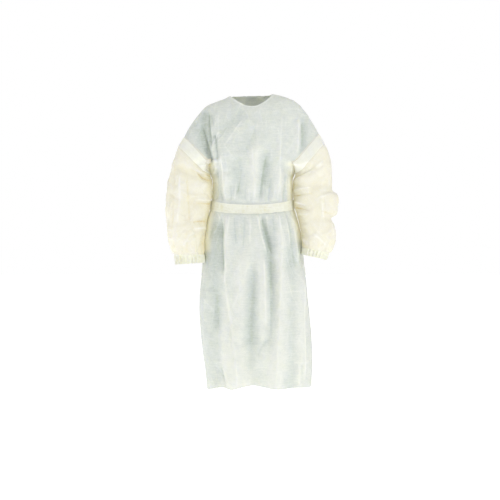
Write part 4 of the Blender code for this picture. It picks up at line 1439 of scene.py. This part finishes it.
def make_belt_strip(skin, sizes, material):
    """The belt round the waist."""
    points, outward, grid = belt_skin(skin)
    # Painted highlight on the belt's raised creases and painted shade between them
    relief = TRIM_RELIEF + BELT_CREASE_TONE * belt_creases(points)
    relief[grid[[0, -1]]] = BELT_EDGE_RELIEF
    belt = strip_shell("belt_cloth", points, outward, grid, sizes, marks={"relief": relief})
    return finish_piece(belt, material, "doubled_cloth", "belt")


def tail_grid(skin, tail):
    """Points and ways out of a hanging end, with a fine column for each of the back's."""
    top = CHEST_ROWS + BELT_ROWS
    first = skin.body_keys[top] - TAIL_TUCK
    rows = np.arange(first, skin.body_keys[top + tail.rows] + 1)
    down = np.linspace(0, 1, len(rows))[:, None]
    across = np.arange(TAIL_COLUMNS * FINE + 1)[None]
    shift = tail.top_shift + (tail.foot_shift - tail.top_shift) * ramp(down)
    gathered = 1 - ramp((rows[:, None] - first) / TAIL_GATHER_ROWS)
    column = (tail.column + shift) * FINE + across
    column = column + (tail.knot_column * FINE - column) * TAIL_NARROWING * gathered
    lower = np.floor(column).astype(int)
    part = (column - lower)[..., None]
    columns = skin.body.shape[1]
    a = skin.body[rows[:, None], lower % columns]
    b = skin.body[rows[:, None], (lower + 1) % columns]
    points = skin.points[a] * (1 - part) + skin.points[b] * part
    outward = unit(skin.outward[a] * (1 - part) + skin.outward[b] * part)
    middle = 2 * across / across.max() - 1
    wave = TAIL_WAVE * (0.6 + 0.4 * np.sin(9 * down + tail.column) + 0.5 * middle**2 * np.sin(5 * down) ** 2)
    crumpled = facets(points.reshape(-1, 3), TAIL_CREASES).reshape(column.shape)
    wave = wave * ramp(down * 6) + TAIL_PLEAT * gathered * np.cos(7 * middle) ** 2 + np.abs(crumpled)
    over_belt = TAIL_OVER_BELT * (1 - ramp((rows[:, None] - first - TAIL_TUCK) / 3))
    points = points + outward * (LIFT + wave + over_belt)[..., None]
    grid = np.arange(points[..., 0].size).reshape(points.shape[:2])
    return points.reshape(-1, 3), outward.reshape(-1, 3), grid


def make_tails(skin, sizes, material):
    for side, tail in TAILS.items():
        points, outward, grid = tail_grid(skin, tail)
        piece = strip_shell(f"belt_end_{side}_cloth", points, outward, grid, sizes, inset=TAIL_INSET)
        finish_piece(piece, material, "doubled_cloth", f"belt_end_{side}")


def make_knot(material):
    """The belt's knot: a flat strand that crosses over itself three times, pulled tight."""
    low, high = (np.array(corner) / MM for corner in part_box("belt_knot"))
    centre = (low + high) / 2
    turn = spread((0, 2 * math.pi), (KNOT_STEPS,))
    half_width, half_thickness = KNOT_STRAND
    strand = np.array([half_width, half_thickness, half_width])
    reach = (np.array(KNOT_SIZE) / 2 - strand) * np.array(KNOT_PULL)
    path = np.stack(
        [
            (np.sin(turn) + 2 * np.sin(2 * turn)) / KNOT_LOOP * reach[0],
            -np.sin(3 * turn) * reach[1],
            -(np.cos(turn) - 2 * np.cos(2 * turn)) / KNOT_LOOP * reach[2],
        ],
        axis=1,
    )
    ahead = unit(np.roll(path, -1, axis=0) - np.roll(path, 1, axis=0))
    wide = unit(np.cross(ahead, np.array(KNOT_LEAN)))
    thick = np.cross(ahead, wide)
    around = spread((0, 2 * math.pi), (KNOT_SIDES,))
    pleated = half_thickness * (1 + KNOT_PLEAT * np.cos(KNOT_PLEATS * around))
    across = wide[:, None] * (np.cos(around) * half_width)[None, :, None]
    through = thick[:, None] * (np.sin(around) * pleated)[None, :, None]
    points = (path[:, None] + across + through).reshape(-1, 3) + centre
    grid = np.arange(len(points)).reshape(KNOT_STEPS, KNOT_SIDES)
    grid = closed(np.concatenate([grid, grid[:1]]))
    mesh = quad_mesh("belt_knot_cloth", points, grid_corners(grid), grid_corners(knot_flat(grid)))
    turn_faces_out(mesh)
    knot = add_object("belt_knot_cloth", mesh)
    return finish_piece(knot, material, "doubled_cloth", "belt_knot")


def knot_flat(grid):
    """Cloth coordinates along and round the knot's strand."""
    along, round_it = np.meshgrid(np.arange(grid.shape[0]), np.arange(grid.shape[1]), indexing="ij")
    return np.stack([round_it * KNOT_SIDE, along * KNOT_STEP], axis=-1)


def turn_faces_out(mesh):
    shape = bmesh.new()
    shape.from_mesh(mesh)
    bmesh.ops.recalc_face_normals(shape, faces=shape.faces)
    shape.to_mesh(mesh)
    shape.free()


def make_tab(skin, sizes, material):
    """The hook-and-loop tab across the lap at the back of the neck."""
    last = skin.yoke_keys[1]
    grid = round_columns(skin.yoke, -FINE + 1, LAP * FINE - 1)[1:last]
    points = skin.laid(grid, LIFT)
    piece = strip_shell("neck_tab_cloth", points, skin.outward, grid, sizes, inset=TAB_INSET)
    finish_piece(piece, material, "doubled_cloth", "neck_tab")


def fill(tree, node, inputs):
    """Fills or links a node's inputs."""
    for name, value in inputs.items():
        if isinstance(value, bpy.types.NodeSocket):
            tree.links.new(value, node.inputs[name])
        else:
            node.inputs[name].default_value = value


def add_node(tree, kind, inputs=None, **settings):
    """A node with its settings made and its inputs filled or linked."""
    node = tree.nodes.new(kind)
    for name, value in settings.items():
        setattr(node, name, value)
    fill(tree, node, inputs or {})
    return node


def new_material(name):
    """A new material, its node tree and its shader."""
    material = bpy.data.materials.new(name)
    material.use_nodes = True
    return material, material.node_tree, material.node_tree.nodes["Principled BSDF"]


def calculate(tree, operation, a, b=0.0, c=0.0):
    return add_node(tree, "ShaderNodeMath", {0: a, 1: b, 2: c}, operation=operation).outputs[0]


def scaled(tree, vector, scale):
    return add_node(tree, "ShaderNodeVectorMath", {0: vector, 1: scale}, operation="MULTIPLY").outputs[0]


def noise(tree, vector, scale, detail):
    inputs = {"Vector": vector, "Scale": scale, "Detail": detail, "Roughness": 0.55}
    return add_node(tree, "ShaderNodeTexNoise", inputs).outputs[0]


def clamped(tree, value, least=0.0):
    return add_node(tree, "ShaderNodeClamp", {0: value, 1: least}).outputs[0]


def mixed_colour(tree, share, low, high):
    return add_node(tree, "ShaderNodeMix", {0: share, 6: low, 7: high}, data_type="RGBA").outputs[2]


def web_group():
    """Spunbonded web: clouds of thick and thin, fibre streaks, crosswise ribs and rows of bond points."""
    group = bpy.data.node_groups.new("Nonwoven web", "ShaderNodeTree")
    sockets = group.interface
    sockets.new_socket("Cloth", in_out="INPUT", socket_type="NodeSocketVector")
    for name, default in (("Bond Pitch", 2.0), ("Clouds", 1.0), ("Ribs", 1.0)):
        sockets.new_socket(name, in_out="INPUT", socket_type="NodeSocketFloat").default_value = default
    for name in ("Tone", "Thinness", "Height"):
        sockets.new_socket(name, in_out="OUTPUT", socket_type="NodeSocketFloat")
    inside = add_node(group, "NodeGroupInput")
    place = scaled(group, inside.outputs["Cloth"], (CLOTH_UNIT / MM,) * 3)
    clouds = calculate(group, "SUBTRACT", noise(group, place, 0.022, 4.0), 0.5)
    clouds = calculate(group, "MULTIPLY", clouds, inside.outputs["Clouds"])
    fibres = noise(group, scaled(group, place, (0.22, 1.0, 1.0)), 0.5, 3.0)
    crossed = noise(group, scaled(group, place, (1.0, 0.2, 1.0)), 0.45, 3.0)
    fibres = calculate(group, "SUBTRACT", calculate(group, "ADD", fibres, crossed), 1.0)
    ribs = calculate(group, "SUBTRACT", noise(group, scaled(group, place, (0.035, 0.19, 1.0)), 1.0, 2.0), 0.5)
    ribs = calculate(group, "MULTIPLY", ribs, inside.outputs["Ribs"])
    per_pitch = calculate(group, "DIVIDE", 1.0, inside.outputs["Bond Pitch"])
    bonds = add_node(group, "ShaderNodeTexVoronoi", {"Vector": place, "Scale": per_pitch, "Randomness": 0.22})
    bonds = add_node(
        group, "ShaderNodeMapRange", {0: bonds.outputs["Distance"], 1: 0.2, 2: 0.36, 3: 1.0, 4: 0.0}
    ).outputs[0]
    tone = calculate(group, "MULTIPLY_ADD", clouds, 0.5, 0.5)
    tone = calculate(group, "MULTIPLY_ADD", ribs, 1.2, tone)
    tone = calculate(group, "MULTIPLY_ADD", fibres, 1.0, tone)
    thinness = calculate(group, "MULTIPLY_ADD", clouds, -0.5, 0.5)
    thinness = calculate(group, "MULTIPLY_ADD", bonds, 0.3, thinness)
    height = calculate(group, "MULTIPLY", ribs, 1.6)
    height = calculate(group, "MULTIPLY_ADD", fibres, 0.35, height)
    height = calculate(group, "MULTIPLY_ADD", bonds, -0.3, height)
    outputs = {"Tone": tone, "Thinness": thinness, "Height": height}
    add_node(group, "NodeGroupOutput", outputs)
    return group


def cloth_material(look, pale, deep, fold, beside):
    """Nonwoven cloth: pale on its ridges and crests as painted highlight, deep in its troughs as painted
    shade and where its web is thin, and of the painted fold shade deep down in its folds.

    Beside a sleeve, it is painted with the colour of the light that comes through that sleeve.
    """
    material, tree, shader = new_material(look.name)
    place = add_node(tree, "ShaderNodeUVMap", uv_map="Cloth").outputs[0]
    web = {"Cloth": place, "Bond Pitch": look.bond_pitch, "Clouds": look.clouds, "Ribs": look.ribs}
    cloth = add_node(tree, "ShaderNodeGroup", web, node_tree=shared_web())
    doubled, relief, crest, nestled = (
        add_node(tree, "ShaderNodeAttribute", attribute_name=name).outputs["Fac"]
        for name in ("doubled", "relief", "crest", "nestled")
    )
    tone = calculate(tree, "MULTIPLY_ADD", relief, RELIEF_TONE, cloth.outputs["Tone"])
    tone = calculate(tree, "MULTIPLY_ADD", crest, CREST_TONE, tone)
    in_fold_shade = clamped(tree, calculate(tree, "MULTIPLY", tone, FOLD_TONE))
    colour = mixed_colour(tree, clamped(tree, tone), (*deep, 1.0), (*pale, 1.0))
    colour = mixed_colour(tree, in_fold_shade, colour, (*fold, 1.0))
    colour = mixed_colour(tree, nestled, colour, (*beside, 1.0))
    thin = calculate(tree, "MULTIPLY", cloth.outputs["Thinness"], look.clear * 2)
    closed_up = calculate(tree, "MAXIMUM", doubled, calculate(tree, "MULTIPLY", crest, CREST_CLOSES))
    thin = calculate(tree, "MULTIPLY", thin, calculate(tree, "SUBTRACT", 1.0, closed_up))
    solid = clamped(tree, calculate(tree, "SUBTRACT", 1.0, thin), LEAST_SOLID)
    shadow = add_node(tree, "ShaderNodeLightPath").outputs["Is Shadow Ray"]
    let_through = calculate(tree, "MULTIPLY_ADD", shadow, -look.glow, 1.0)
    grain = {"Strength": 0.35, "Distance": 0.0006, "Height": cloth.outputs["Height"]}
    finish = {
        "Base Color": colour,
        "Alpha": calculate(tree, "MULTIPLY", solid, let_through),
        "Normal": add_node(tree, "ShaderNodeBump", grain).outputs[0],
        "Roughness": 0.62,
        "Specular IOR Level": 0.35,
        "Sheen Weight": 0.12,
        "Sheen Roughness": 0.5,
        "Subsurface Weight": 0.5,
        "Subsurface Radius": (1.0, 0.95, 0.6),
        "Subsurface Scale": 0.0016,
    }
    fill(tree, shader, finish)
    return material


def weld_material(colours):
    """Cloth pressed and melted at a weld: smoother and a little deeper in colour."""
    material, tree, shader = new_material("Weld")
    place = add_node(tree, "ShaderNodeTexCoord").outputs["Object"]
    grain = noise(tree, place, 900.0, 2.0)
    # The weld's colour starts from the body's pale colour, with the painted shade of the hollow in it
    pale = tuple(colours.body_pale)
    deep = tuple(WELD_DEPTH * channel for channel in pale)
    bump = add_node(tree, "ShaderNodeBump", {"Strength": 0.2, "Distance": 0.0002, "Height": grain})
    colour = mixed_colour(tree, grain, (*deep, 1.0), (*pale, 1.0))
    fill(tree, shader, {"Base Color": colour, "Normal": bump.outputs[0], "Roughness": 0.42})
    return material


def weld_tree():
    """Geometry nodes that set a short pressed bar at every step of a path, along it and upright on it."""
    tree = bpy.data.node_groups.new("Weld line", "GeometryNodeTree")
    sockets = tree.interface
    sockets.new_socket("Path", in_out="INPUT", socket_type="NodeSocketGeometry")
    for name in ("Pitch", "Length", "Width", "Height"):
        sockets.new_socket(name, in_out="INPUT", socket_type="NodeSocketFloat")
    sockets.new_socket("Material", in_out="INPUT", socket_type="NodeSocketMaterial")
    sockets.new_socket("Welds", in_out="OUTPUT", socket_type="NodeSocketGeometry")
    inside = tree.nodes.new("NodeGroupInput").outputs
    curve = add_node(tree, "GeometryNodeMeshToCurve", {"Mesh": inside["Path"]}).outputs[0]
    spacing = {"Curve": curve, "Length": inside["Pitch"]}
    steps = add_node(tree, "GeometryNodeResampleCurve", spacing, mode="LENGTH").outputs[0]
    bar = add_node(tree, "GeometryNodeMeshIcoSphere", {"Radius": 0.5, "Subdivisions": 1}).outputs[0]
    named = {"Name": "way"}
    way = add_node(tree, "GeometryNodeInputNamedAttribute", named, data_type="FLOAT_VECTOR").outputs[0]
    axes = {0: way, 1: add_node(tree, "GeometryNodeInputTangent").outputs[0]}
    turned = add_node(tree, "FunctionNodeAxesToRotation", axes, primary_axis="Z", secondary_axis="X")
    spans = {0: inside["Length"], 1: inside["Width"], 2: inside["Height"]}
    size = add_node(tree, "ShaderNodeCombineXYZ", spans).outputs[0]
    placed = {"Points": steps, "Instance": bar, "Rotation": turned.outputs[0], "Scale": size}
    bars = add_node(tree, "GeometryNodeInstanceOnPoints", placed).outputs[0]
    solid = add_node(tree, "GeometryNodeRealizeInstances", {0: bars}).outputs[0]
    finish = {"Geometry": solid, "Material": inside["Material"]}
    made = add_node(tree, "GeometryNodeSetMaterial", finish).outputs[0]
    add_node(tree, "NodeGroupOutput", {"Welds": made})
    return tree


def path_mesh(name, lines):
    """A mesh of edges along each line's points that keeps the way out at each. Lines are (points, ways)."""
    mesh = bpy.data.meshes.new(name)
    points = np.concatenate([line[0] for line in lines]) * MM
    ways = np.concatenate([line[1] for line in lines])
    edges, first = [], 0
    for line in lines:
        edges += [(first + i, first + i + 1) for i in range(len(line[0]) - 1)]
        first += len(line[0])
    mesh.from_pydata(points.tolist(), edges, [])
    way = mesh.attributes.new("way", "FLOAT_VECTOR", "POINT")
    way.data.foreach_set("vector", ways.ravel())
    return mesh


def weld_lines(name, lines, tree, sizes, material, slot):
    """Sets the welds along the lines and keeps them as a plain mesh."""
    carrier = add_object(name + "_path", path_mesh(name + "_path", lines))
    modifier = carrier.modifiers.new("Weld line", "NODES")
    modifier.node_group = tree
    values = {
        "Pitch": sizes.weld_pitch,
        "Length": sizes.weld_length,
        "Width": sizes.weld_width,
        "Height": sizes.weld_height,
        "Material": material,
    }
    for item in tree.interface.items_tree:
        if item.in_out == "INPUT" and item.name in values:
            modifier[item.identifier] = values[item.name]
    scene_now = bpy.context.evaluated_depsgraph_get()
    mesh = bpy.data.meshes.new_from_object(carrier.evaluated_get(scene_now))
    bpy.data.objects.remove(carrier)
    mesh.name = name
    mesh.shade_smooth()
    piece = add_object(name, mesh)
    return finish_piece(piece, material, slot)


def seam_line(skin, ids, lift=CLOTH / 2):
    return skin.points[ids] + skin.outward[ids] * lift, skin.outward[ids]


def seam_lines(skin):
    """The welded seams, by name: armholes, sides, shoulders, cuffs, and the join across the belt."""
    yoke_sides, body_sides = side_columns()
    belt_top, belt_foot = skin.body_keys[CHEST_ROWS], skin.body_keys[CHEST_ROWS + BELT_ROWS]
    lines = {"armhole_welds": [], "side_welds": [], "shoulder_welds": [], "cuff_welds": []}
    for grid in skin.sleeves.values():
        lines["armhole_welds"].append(seam_line(skin, closed(grid)[0]))
        lines["cuff_welds"].append(seam_line(skin, closed(grid)[-1]))
    for column in body_sides:
        lines["side_welds"].append(seam_line(skin, skin.body[: belt_top - 1, column]))
        lines["side_welds"].append(seam_line(skin, skin.body[belt_foot + 2 :, column]))
    for column in yoke_sides:
        lines["shoulder_welds"].append(seam_line(skin, skin.yoke[:, column]))
    points, outward, grid = belt_skin(skin)
    from_join = np.abs(points[grid[0], 0] - BELT_JOIN_X)
    from_join[points[grid[0], 1] > 0] = np.inf
    join = grid[1:-1, from_join.argmin()]
    lines["belt_weld"] = [(points[join] + outward[join] * TRIM / 2, outward[join])]
    return lines


class GownSizes(bpy.types.PropertyGroup):
    """Sizes of the gown's cloth and welds."""

    cloth: bpy.props.FloatProperty(
        name="Cloth", description="Thickness of the panels' shells",
        default=CLOTH * MM, unit="LENGTH", precision=4
    )
    trim: bpy.props.FloatProperty(
        name="Trim", description="Thickness of the belt, bands and cuffs",
        default=TRIM * MM, unit="LENGTH", precision=4
    )
    crumple: bpy.props.FloatProperty(
        name="Crumple", description="How deep the small facets are, 1 as in the real cloth",
        default=1.0, min=0.0
    )
    creasing: bpy.props.FloatProperty(
        name="Creasing", description="How high the creases are, 1 as in their tables", default=1.35, min=0.0
    )
    weld_pitch: bpy.props.FloatProperty(
        name="Weld pitch", description="From one weld to the next", default=0.0034, unit="LENGTH", precision=4
    )
    weld_length: bpy.props.FloatProperty(
        name="Weld length", description="Length of a weld along its seam",
        default=0.0022, unit="LENGTH", precision=4
    )
    weld_width: bpy.props.FloatProperty(
        name="Weld width", description="Width of a weld", default=0.0008, unit="LENGTH", precision=4
    )
    weld_height: bpy.props.FloatProperty(
        name="Weld height", description="Height of a weld", default=0.0005, unit="LENGTH", precision=4
    )


class GownColours(bpy.types.PropertyGroup):
    """Colours of the cloth and the studio. The deep colours are also painted shade in troughs and sunken
    creases, and the fold colours are painted shade deep in folds.
    """

    # The body is the same cloth as the sleeves; its darker, cooler colours are painted shade of the hollow
    # seen through it
    body_pale: bpy.props.FloatVectorProperty(
        name="Body, pale", description="Panels where the web is thick",
        default=(0.802, 0.815, 0.765), subtype="COLOR"
    )
    body_deep: bpy.props.FloatVectorProperty(
        name="Body, deep", description="Panels where the web is thin",
        default=(0.63, 0.675, 0.648), subtype="COLOR"
    )
    body_fold_shade: bpy.props.FloatVectorProperty(
        name="Body, folds", description="Panels deep down in their folds",
        default=(0.5, 0.555, 0.49), subtype="COLOR"
    )
    sleeve_pale: bpy.props.FloatVectorProperty(
        name="Sleeves, pale", description="Sleeves where the web is thick",
        default=(0.862, 0.855, 0.80), subtype="COLOR"
    )
    # The sleeves' deep and fold colours are warm painted shade, the yellow of light through the cloth
    sleeve_deep: bpy.props.FloatVectorProperty(
        name="Sleeves, deep", description="Sleeves where the web is thin",
        default=(0.828, 0.788, 0.62), subtype="COLOR"
    )
    sleeve_fold_shade: bpy.props.FloatVectorProperty(
        name="Sleeves, folds", description="Sleeves deep down in their folds",
        default=(0.74, 0.6, 0.3), subtype="COLOR"
    )
    trim_pale: bpy.props.FloatVectorProperty(
        name="Trim, pale", description="Doubled cloth where it is thick",
        default=(0.905, 0.908, 0.815), subtype="COLOR"
    )
    trim_deep: bpy.props.FloatVectorProperty(
        name="Trim, deep", description="Doubled cloth where it is thin",
        default=(0.80, 0.805, 0.70), subtype="COLOR"
    )
    trim_fold_shade: bpy.props.FloatVectorProperty(
        name="Trim, folds", description="Doubled cloth deep down in its folds",
        default=(0.74, 0.72, 0.52), subtype="COLOR"
    )
    # Painted light: the colour of the light through a sleeve, on the panels beside it
    nestled: bpy.props.FloatVectorProperty(
        name="Nestled", description="Panels beside a sleeve", default=(0.97, 0.955, 0.79), subtype="COLOR"
    )
    floor: bpy.props.FloatVectorProperty(
        name="Floor", description="The plain pale floor", default=(0.93, 0.93, 0.93), subtype="COLOR"
    )


class GownStudio(bpy.types.PropertyGroup):
    """Camera and light."""

    camera_place: bpy.props.FloatVectorProperty(
        name="Camera",
        description="Where the camera stands",
        default=tuple(MM * part for part in EYE),
        subtype="TRANSLATION",
    )
    lens: bpy.props.FloatProperty(name="Lens", description="Focal length", default=96.0, unit="CAMERA")
    floor_drop: bpy.props.FloatProperty(
        name="Floor", description="How far the floor lies below the origin", default=1.436, unit="LENGTH"
    )
    floor_glow: bpy.props.FloatProperty(
        name="Floor glow", description="Light that the floor is lit from below with", default=0.75, min=0.0
    )
    key_power: bpy.props.FloatProperty(
        name="Key light", description="Power of the large soft light", default=60.0, unit="POWER"
    )
    fill_power: bpy.props.FloatProperty(
        name="Fill light", description="Power of the light from the other side", default=24.0, unit="POWER"
    )
    surround: bpy.props.FloatProperty(
        name="Surround", description="Strength of the light from all round", default=0.44, min=0.0
    )


def shared_web():
    """The web that all the cloths share, made the first time."""
    return bpy.data.node_groups.get("Nonwoven web") or web_group()


def shared_cloth(look, *tones):
    """The cloth of that look, made the first time."""
    return bpy.data.materials.get(look.name) or cloth_material(look, *tones)


def body_cloth(colours):
    return shared_cloth(BODY_LOOK, colours.body_pale, colours.body_deep, colours.body_fold_shade, colours.nestled)


def sleeve_cloth(colours):
    tones = (colours.sleeve_pale, colours.sleeve_deep, colours.sleeve_fold_shade)
    return shared_cloth(SLEEVE_LOOK, *tones, colours.nestled)


def trim_cloth(colours):
    return shared_cloth(TRIM_LOOK, colours.trim_pale, colours.trim_deep, colours.trim_fold_shade, colours.nestled)


class GOWN_OT_panels(bpy.types.Operator):
    """Makes the front panel and the two lapped back panels."""

    bl_idname = "gown.panels"
    bl_label = "Panels"

    def execute(self, context):
        sizes = context.scene.gown_sizes
        skin, material = gown_skin(sizes), body_cloth(context.scene.gown_colours)
        make_front(skin, sizes, material)
        make_backs(skin, sizes, material)
        return {"FINISHED"}


class GOWN_OT_sleeves(bpy.types.Operator):
    """Makes the sleeves and the doubled bands round their heads."""

    bl_idname = "gown.sleeves"
    bl_label = "Sleeves"

    def execute(self, context):
        sizes, colours = context.scene.gown_sizes, context.scene.gown_colours
        make_sleeves(gown_skin(sizes), sizes, sleeve_cloth(colours))
        make_bands(gown_skin(sizes), sizes, trim_cloth(colours))
        return {"FINISHED"}


class GOWN_OT_cuffs(bpy.types.Operator):
    """Makes the elasticated cuffs."""

    bl_idname = "gown.cuffs"
    bl_label = "Cuffs"

    def execute(self, context):
        sizes = context.scene.gown_sizes
        make_cuffs(gown_skin(sizes), sizes, trim_cloth(context.scene.gown_colours))
        return {"FINISHED"}


class GOWN_OT_belt(bpy.types.Operator):
    """Makes the belt, its knot at the back and its two hanging ends."""

    bl_idname = "gown.belt"
    bl_label = "Belt"

    def execute(self, context):
        sizes = context.scene.gown_sizes
        skin, material = gown_skin(sizes), trim_cloth(context.scene.gown_colours)
        belt = make_belt_strip(skin, sizes, material)
        knot = make_knot(material)
        make_tails(skin, sizes, material)
        return {"FINISHED"}


class GOWN_OT_tab(bpy.types.Operator):
    """Makes the hook-and-loop tab at the back of the neck."""

    bl_idname = "gown.tab"
    bl_label = "Neck tab"

    def execute(self, context):
        sizes = context.scene.gown_sizes
        make_tab(gown_skin(sizes), sizes, trim_cloth(context.scene.gown_colours))
        return {"FINISHED"}


class GOWN_OT_welds(bpy.types.Operator):
    """Sets the welds along the seams."""

    bl_idname = "gown.welds"
    bl_label = "Welds"

    def execute(self, context):
        sizes = context.scene.gown_sizes
        tree = weld_tree()
        material = weld_material(context.scene.gown_colours)
        for name, lines in seam_lines(gown_skin(sizes)).items():
            slot = "doubled_cloth" if name == "belt_weld" else "nonwoven_cloth"
            weld_lines(name, lines, tree, sizes, material, slot)
        return {"FINISHED"}


def make_floor(studio, colour):
    """A wide plain floor, far below the hem."""
    mesh = bpy.data.meshes.new("floor")
    shape = bmesh.new()
    bmesh.ops.create_circle(shape, cap_ends=True, segments=96, radius=FLOOR_RADIUS)
    for vertex in shape.verts:
        vertex.co.z = -studio.floor_drop
    shape.to_mesh(mesh)
    shape.free()
    material, tree, shader = new_material("Floor")
    finish = {
        "Base Color": (*colour, 1.0),
        "Roughness": 0.9,
        "Emission Color": (*colour, 1.0),
        "Emission Strength": studio.floor_glow,
    }
    fill(tree, shader, finish)
    mesh.materials.append(material)
    add_object("floor", mesh)


def make_light(light, power):
    data = bpy.data.lights.new(light.name, "AREA")
    data.shape = "DISK"
    data.size = light.size
    data.energy = power
    lamp = add_object(light.name, data)
    lamp.location = light.place
    lamp.rotation_euler = (Vector(light.target) - Vector(light.place)).to_track_quat("-Z", "Y").to_euler()


def make_surround(strength):
    """White behind the gown, and softer white light from all round."""
    world = bpy.data.worlds.new("Studio")
    world.use_nodes = True
    tree = world.node_tree
    seen = add_node(tree, "ShaderNodeLightPath").outputs["Is Camera Ray"]
    amount = add_node(tree, "ShaderNodeMapRange", {0: seen, 3: strength, 4: 1.0}).outputs[0]
    fill(tree, tree.nodes["Background"], {"Color": (1.0, 1.0, 1.0, 1.0), "Strength": amount})
    bpy.context.scene.world = world


def make_camera(studio):
    data = bpy.data.cameras.new("Camera")
    data.lens = studio.lens
    data.sensor_width = 36.0
    camera = add_object("Camera", data)
    camera.location = studio.camera_place
    camera.rotation_euler = (math.radians(90), 0.0, 0.0)
    bpy.context.scene.camera = camera


class GOWN_OT_stage(bpy.types.Operator):
    """Sets up the floor, the camera and the studio light."""

    bl_idname = "gown.stage"
    bl_label = "Stage"

    def execute(self, context):
        scene = context.scene
        studio = scene.gown_studio
        make_camera(studio)
        make_floor(studio, scene.gown_colours.floor)
        make_surround(studio.surround)
        for light in LIGHTS:
            make_light(light, getattr(studio, light.power))
        scene.view_settings.view_transform = "Standard"
        scene.cycles.max_bounces = 16
        scene.cycles.diffuse_bounces = 8
        scene.cycles.transparent_max_bounces = 32
        return {"FINISHED"}


class GOWN_PT_panel(bpy.types.Panel):
    """The gown's makers and settings."""

    bl_label = "Isolation gown"
    bl_idname = "GOWN_PT_panel"
    bl_space_type = "VIEW_3D"
    bl_region_type = "UI"
    bl_category = "Gown"

    def draw(self, context):
        layout = self.layout
        for operator in OPERATORS:
            layout.operator(operator.bl_idname)
        for group in (context.scene.gown_sizes, context.scene.gown_colours, context.scene.gown_studio):
            column = layout.column()
            for name in group.__annotations__:
                column.prop(group, name)


OPERATORS = (
    GOWN_OT_stage,
    GOWN_OT_panels,
    GOWN_OT_sleeves,
    GOWN_OT_cuffs,
    GOWN_OT_belt,
    GOWN_OT_tab,
    GOWN_OT_welds,
)
GROUPS = {"gown_sizes": GownSizes, "gown_colours": GownColours, "gown_studio": GownStudio}


def register():
    for name, group in GROUPS.items():
        bpy.utils.register_class(group)
        setattr(bpy.types.Scene, name, bpy.props.PointerProperty(type=group))
    for each in (*OPERATORS, GOWN_PT_panel):
        bpy.utils.register_class(each)


def unregister():
    for each in (GOWN_PT_panel, *reversed(OPERATORS)):
        bpy.utils.unregister_class(each)
    for name, group in GROUPS.items():
        delattr(bpy.types.Scene, name)
        bpy.utils.unregister_class(group)


def main():
    register()
    bpy.ops.gown.stage()
    bpy.ops.gown.panels()
    bpy.ops.gown.sleeves()
    bpy.ops.gown.cuffs()
    bpy.ops.gown.belt()
    bpy.ops.gown.tab()
    bpy.ops.gown.welds()


if __name__ == "__main__":
    main()
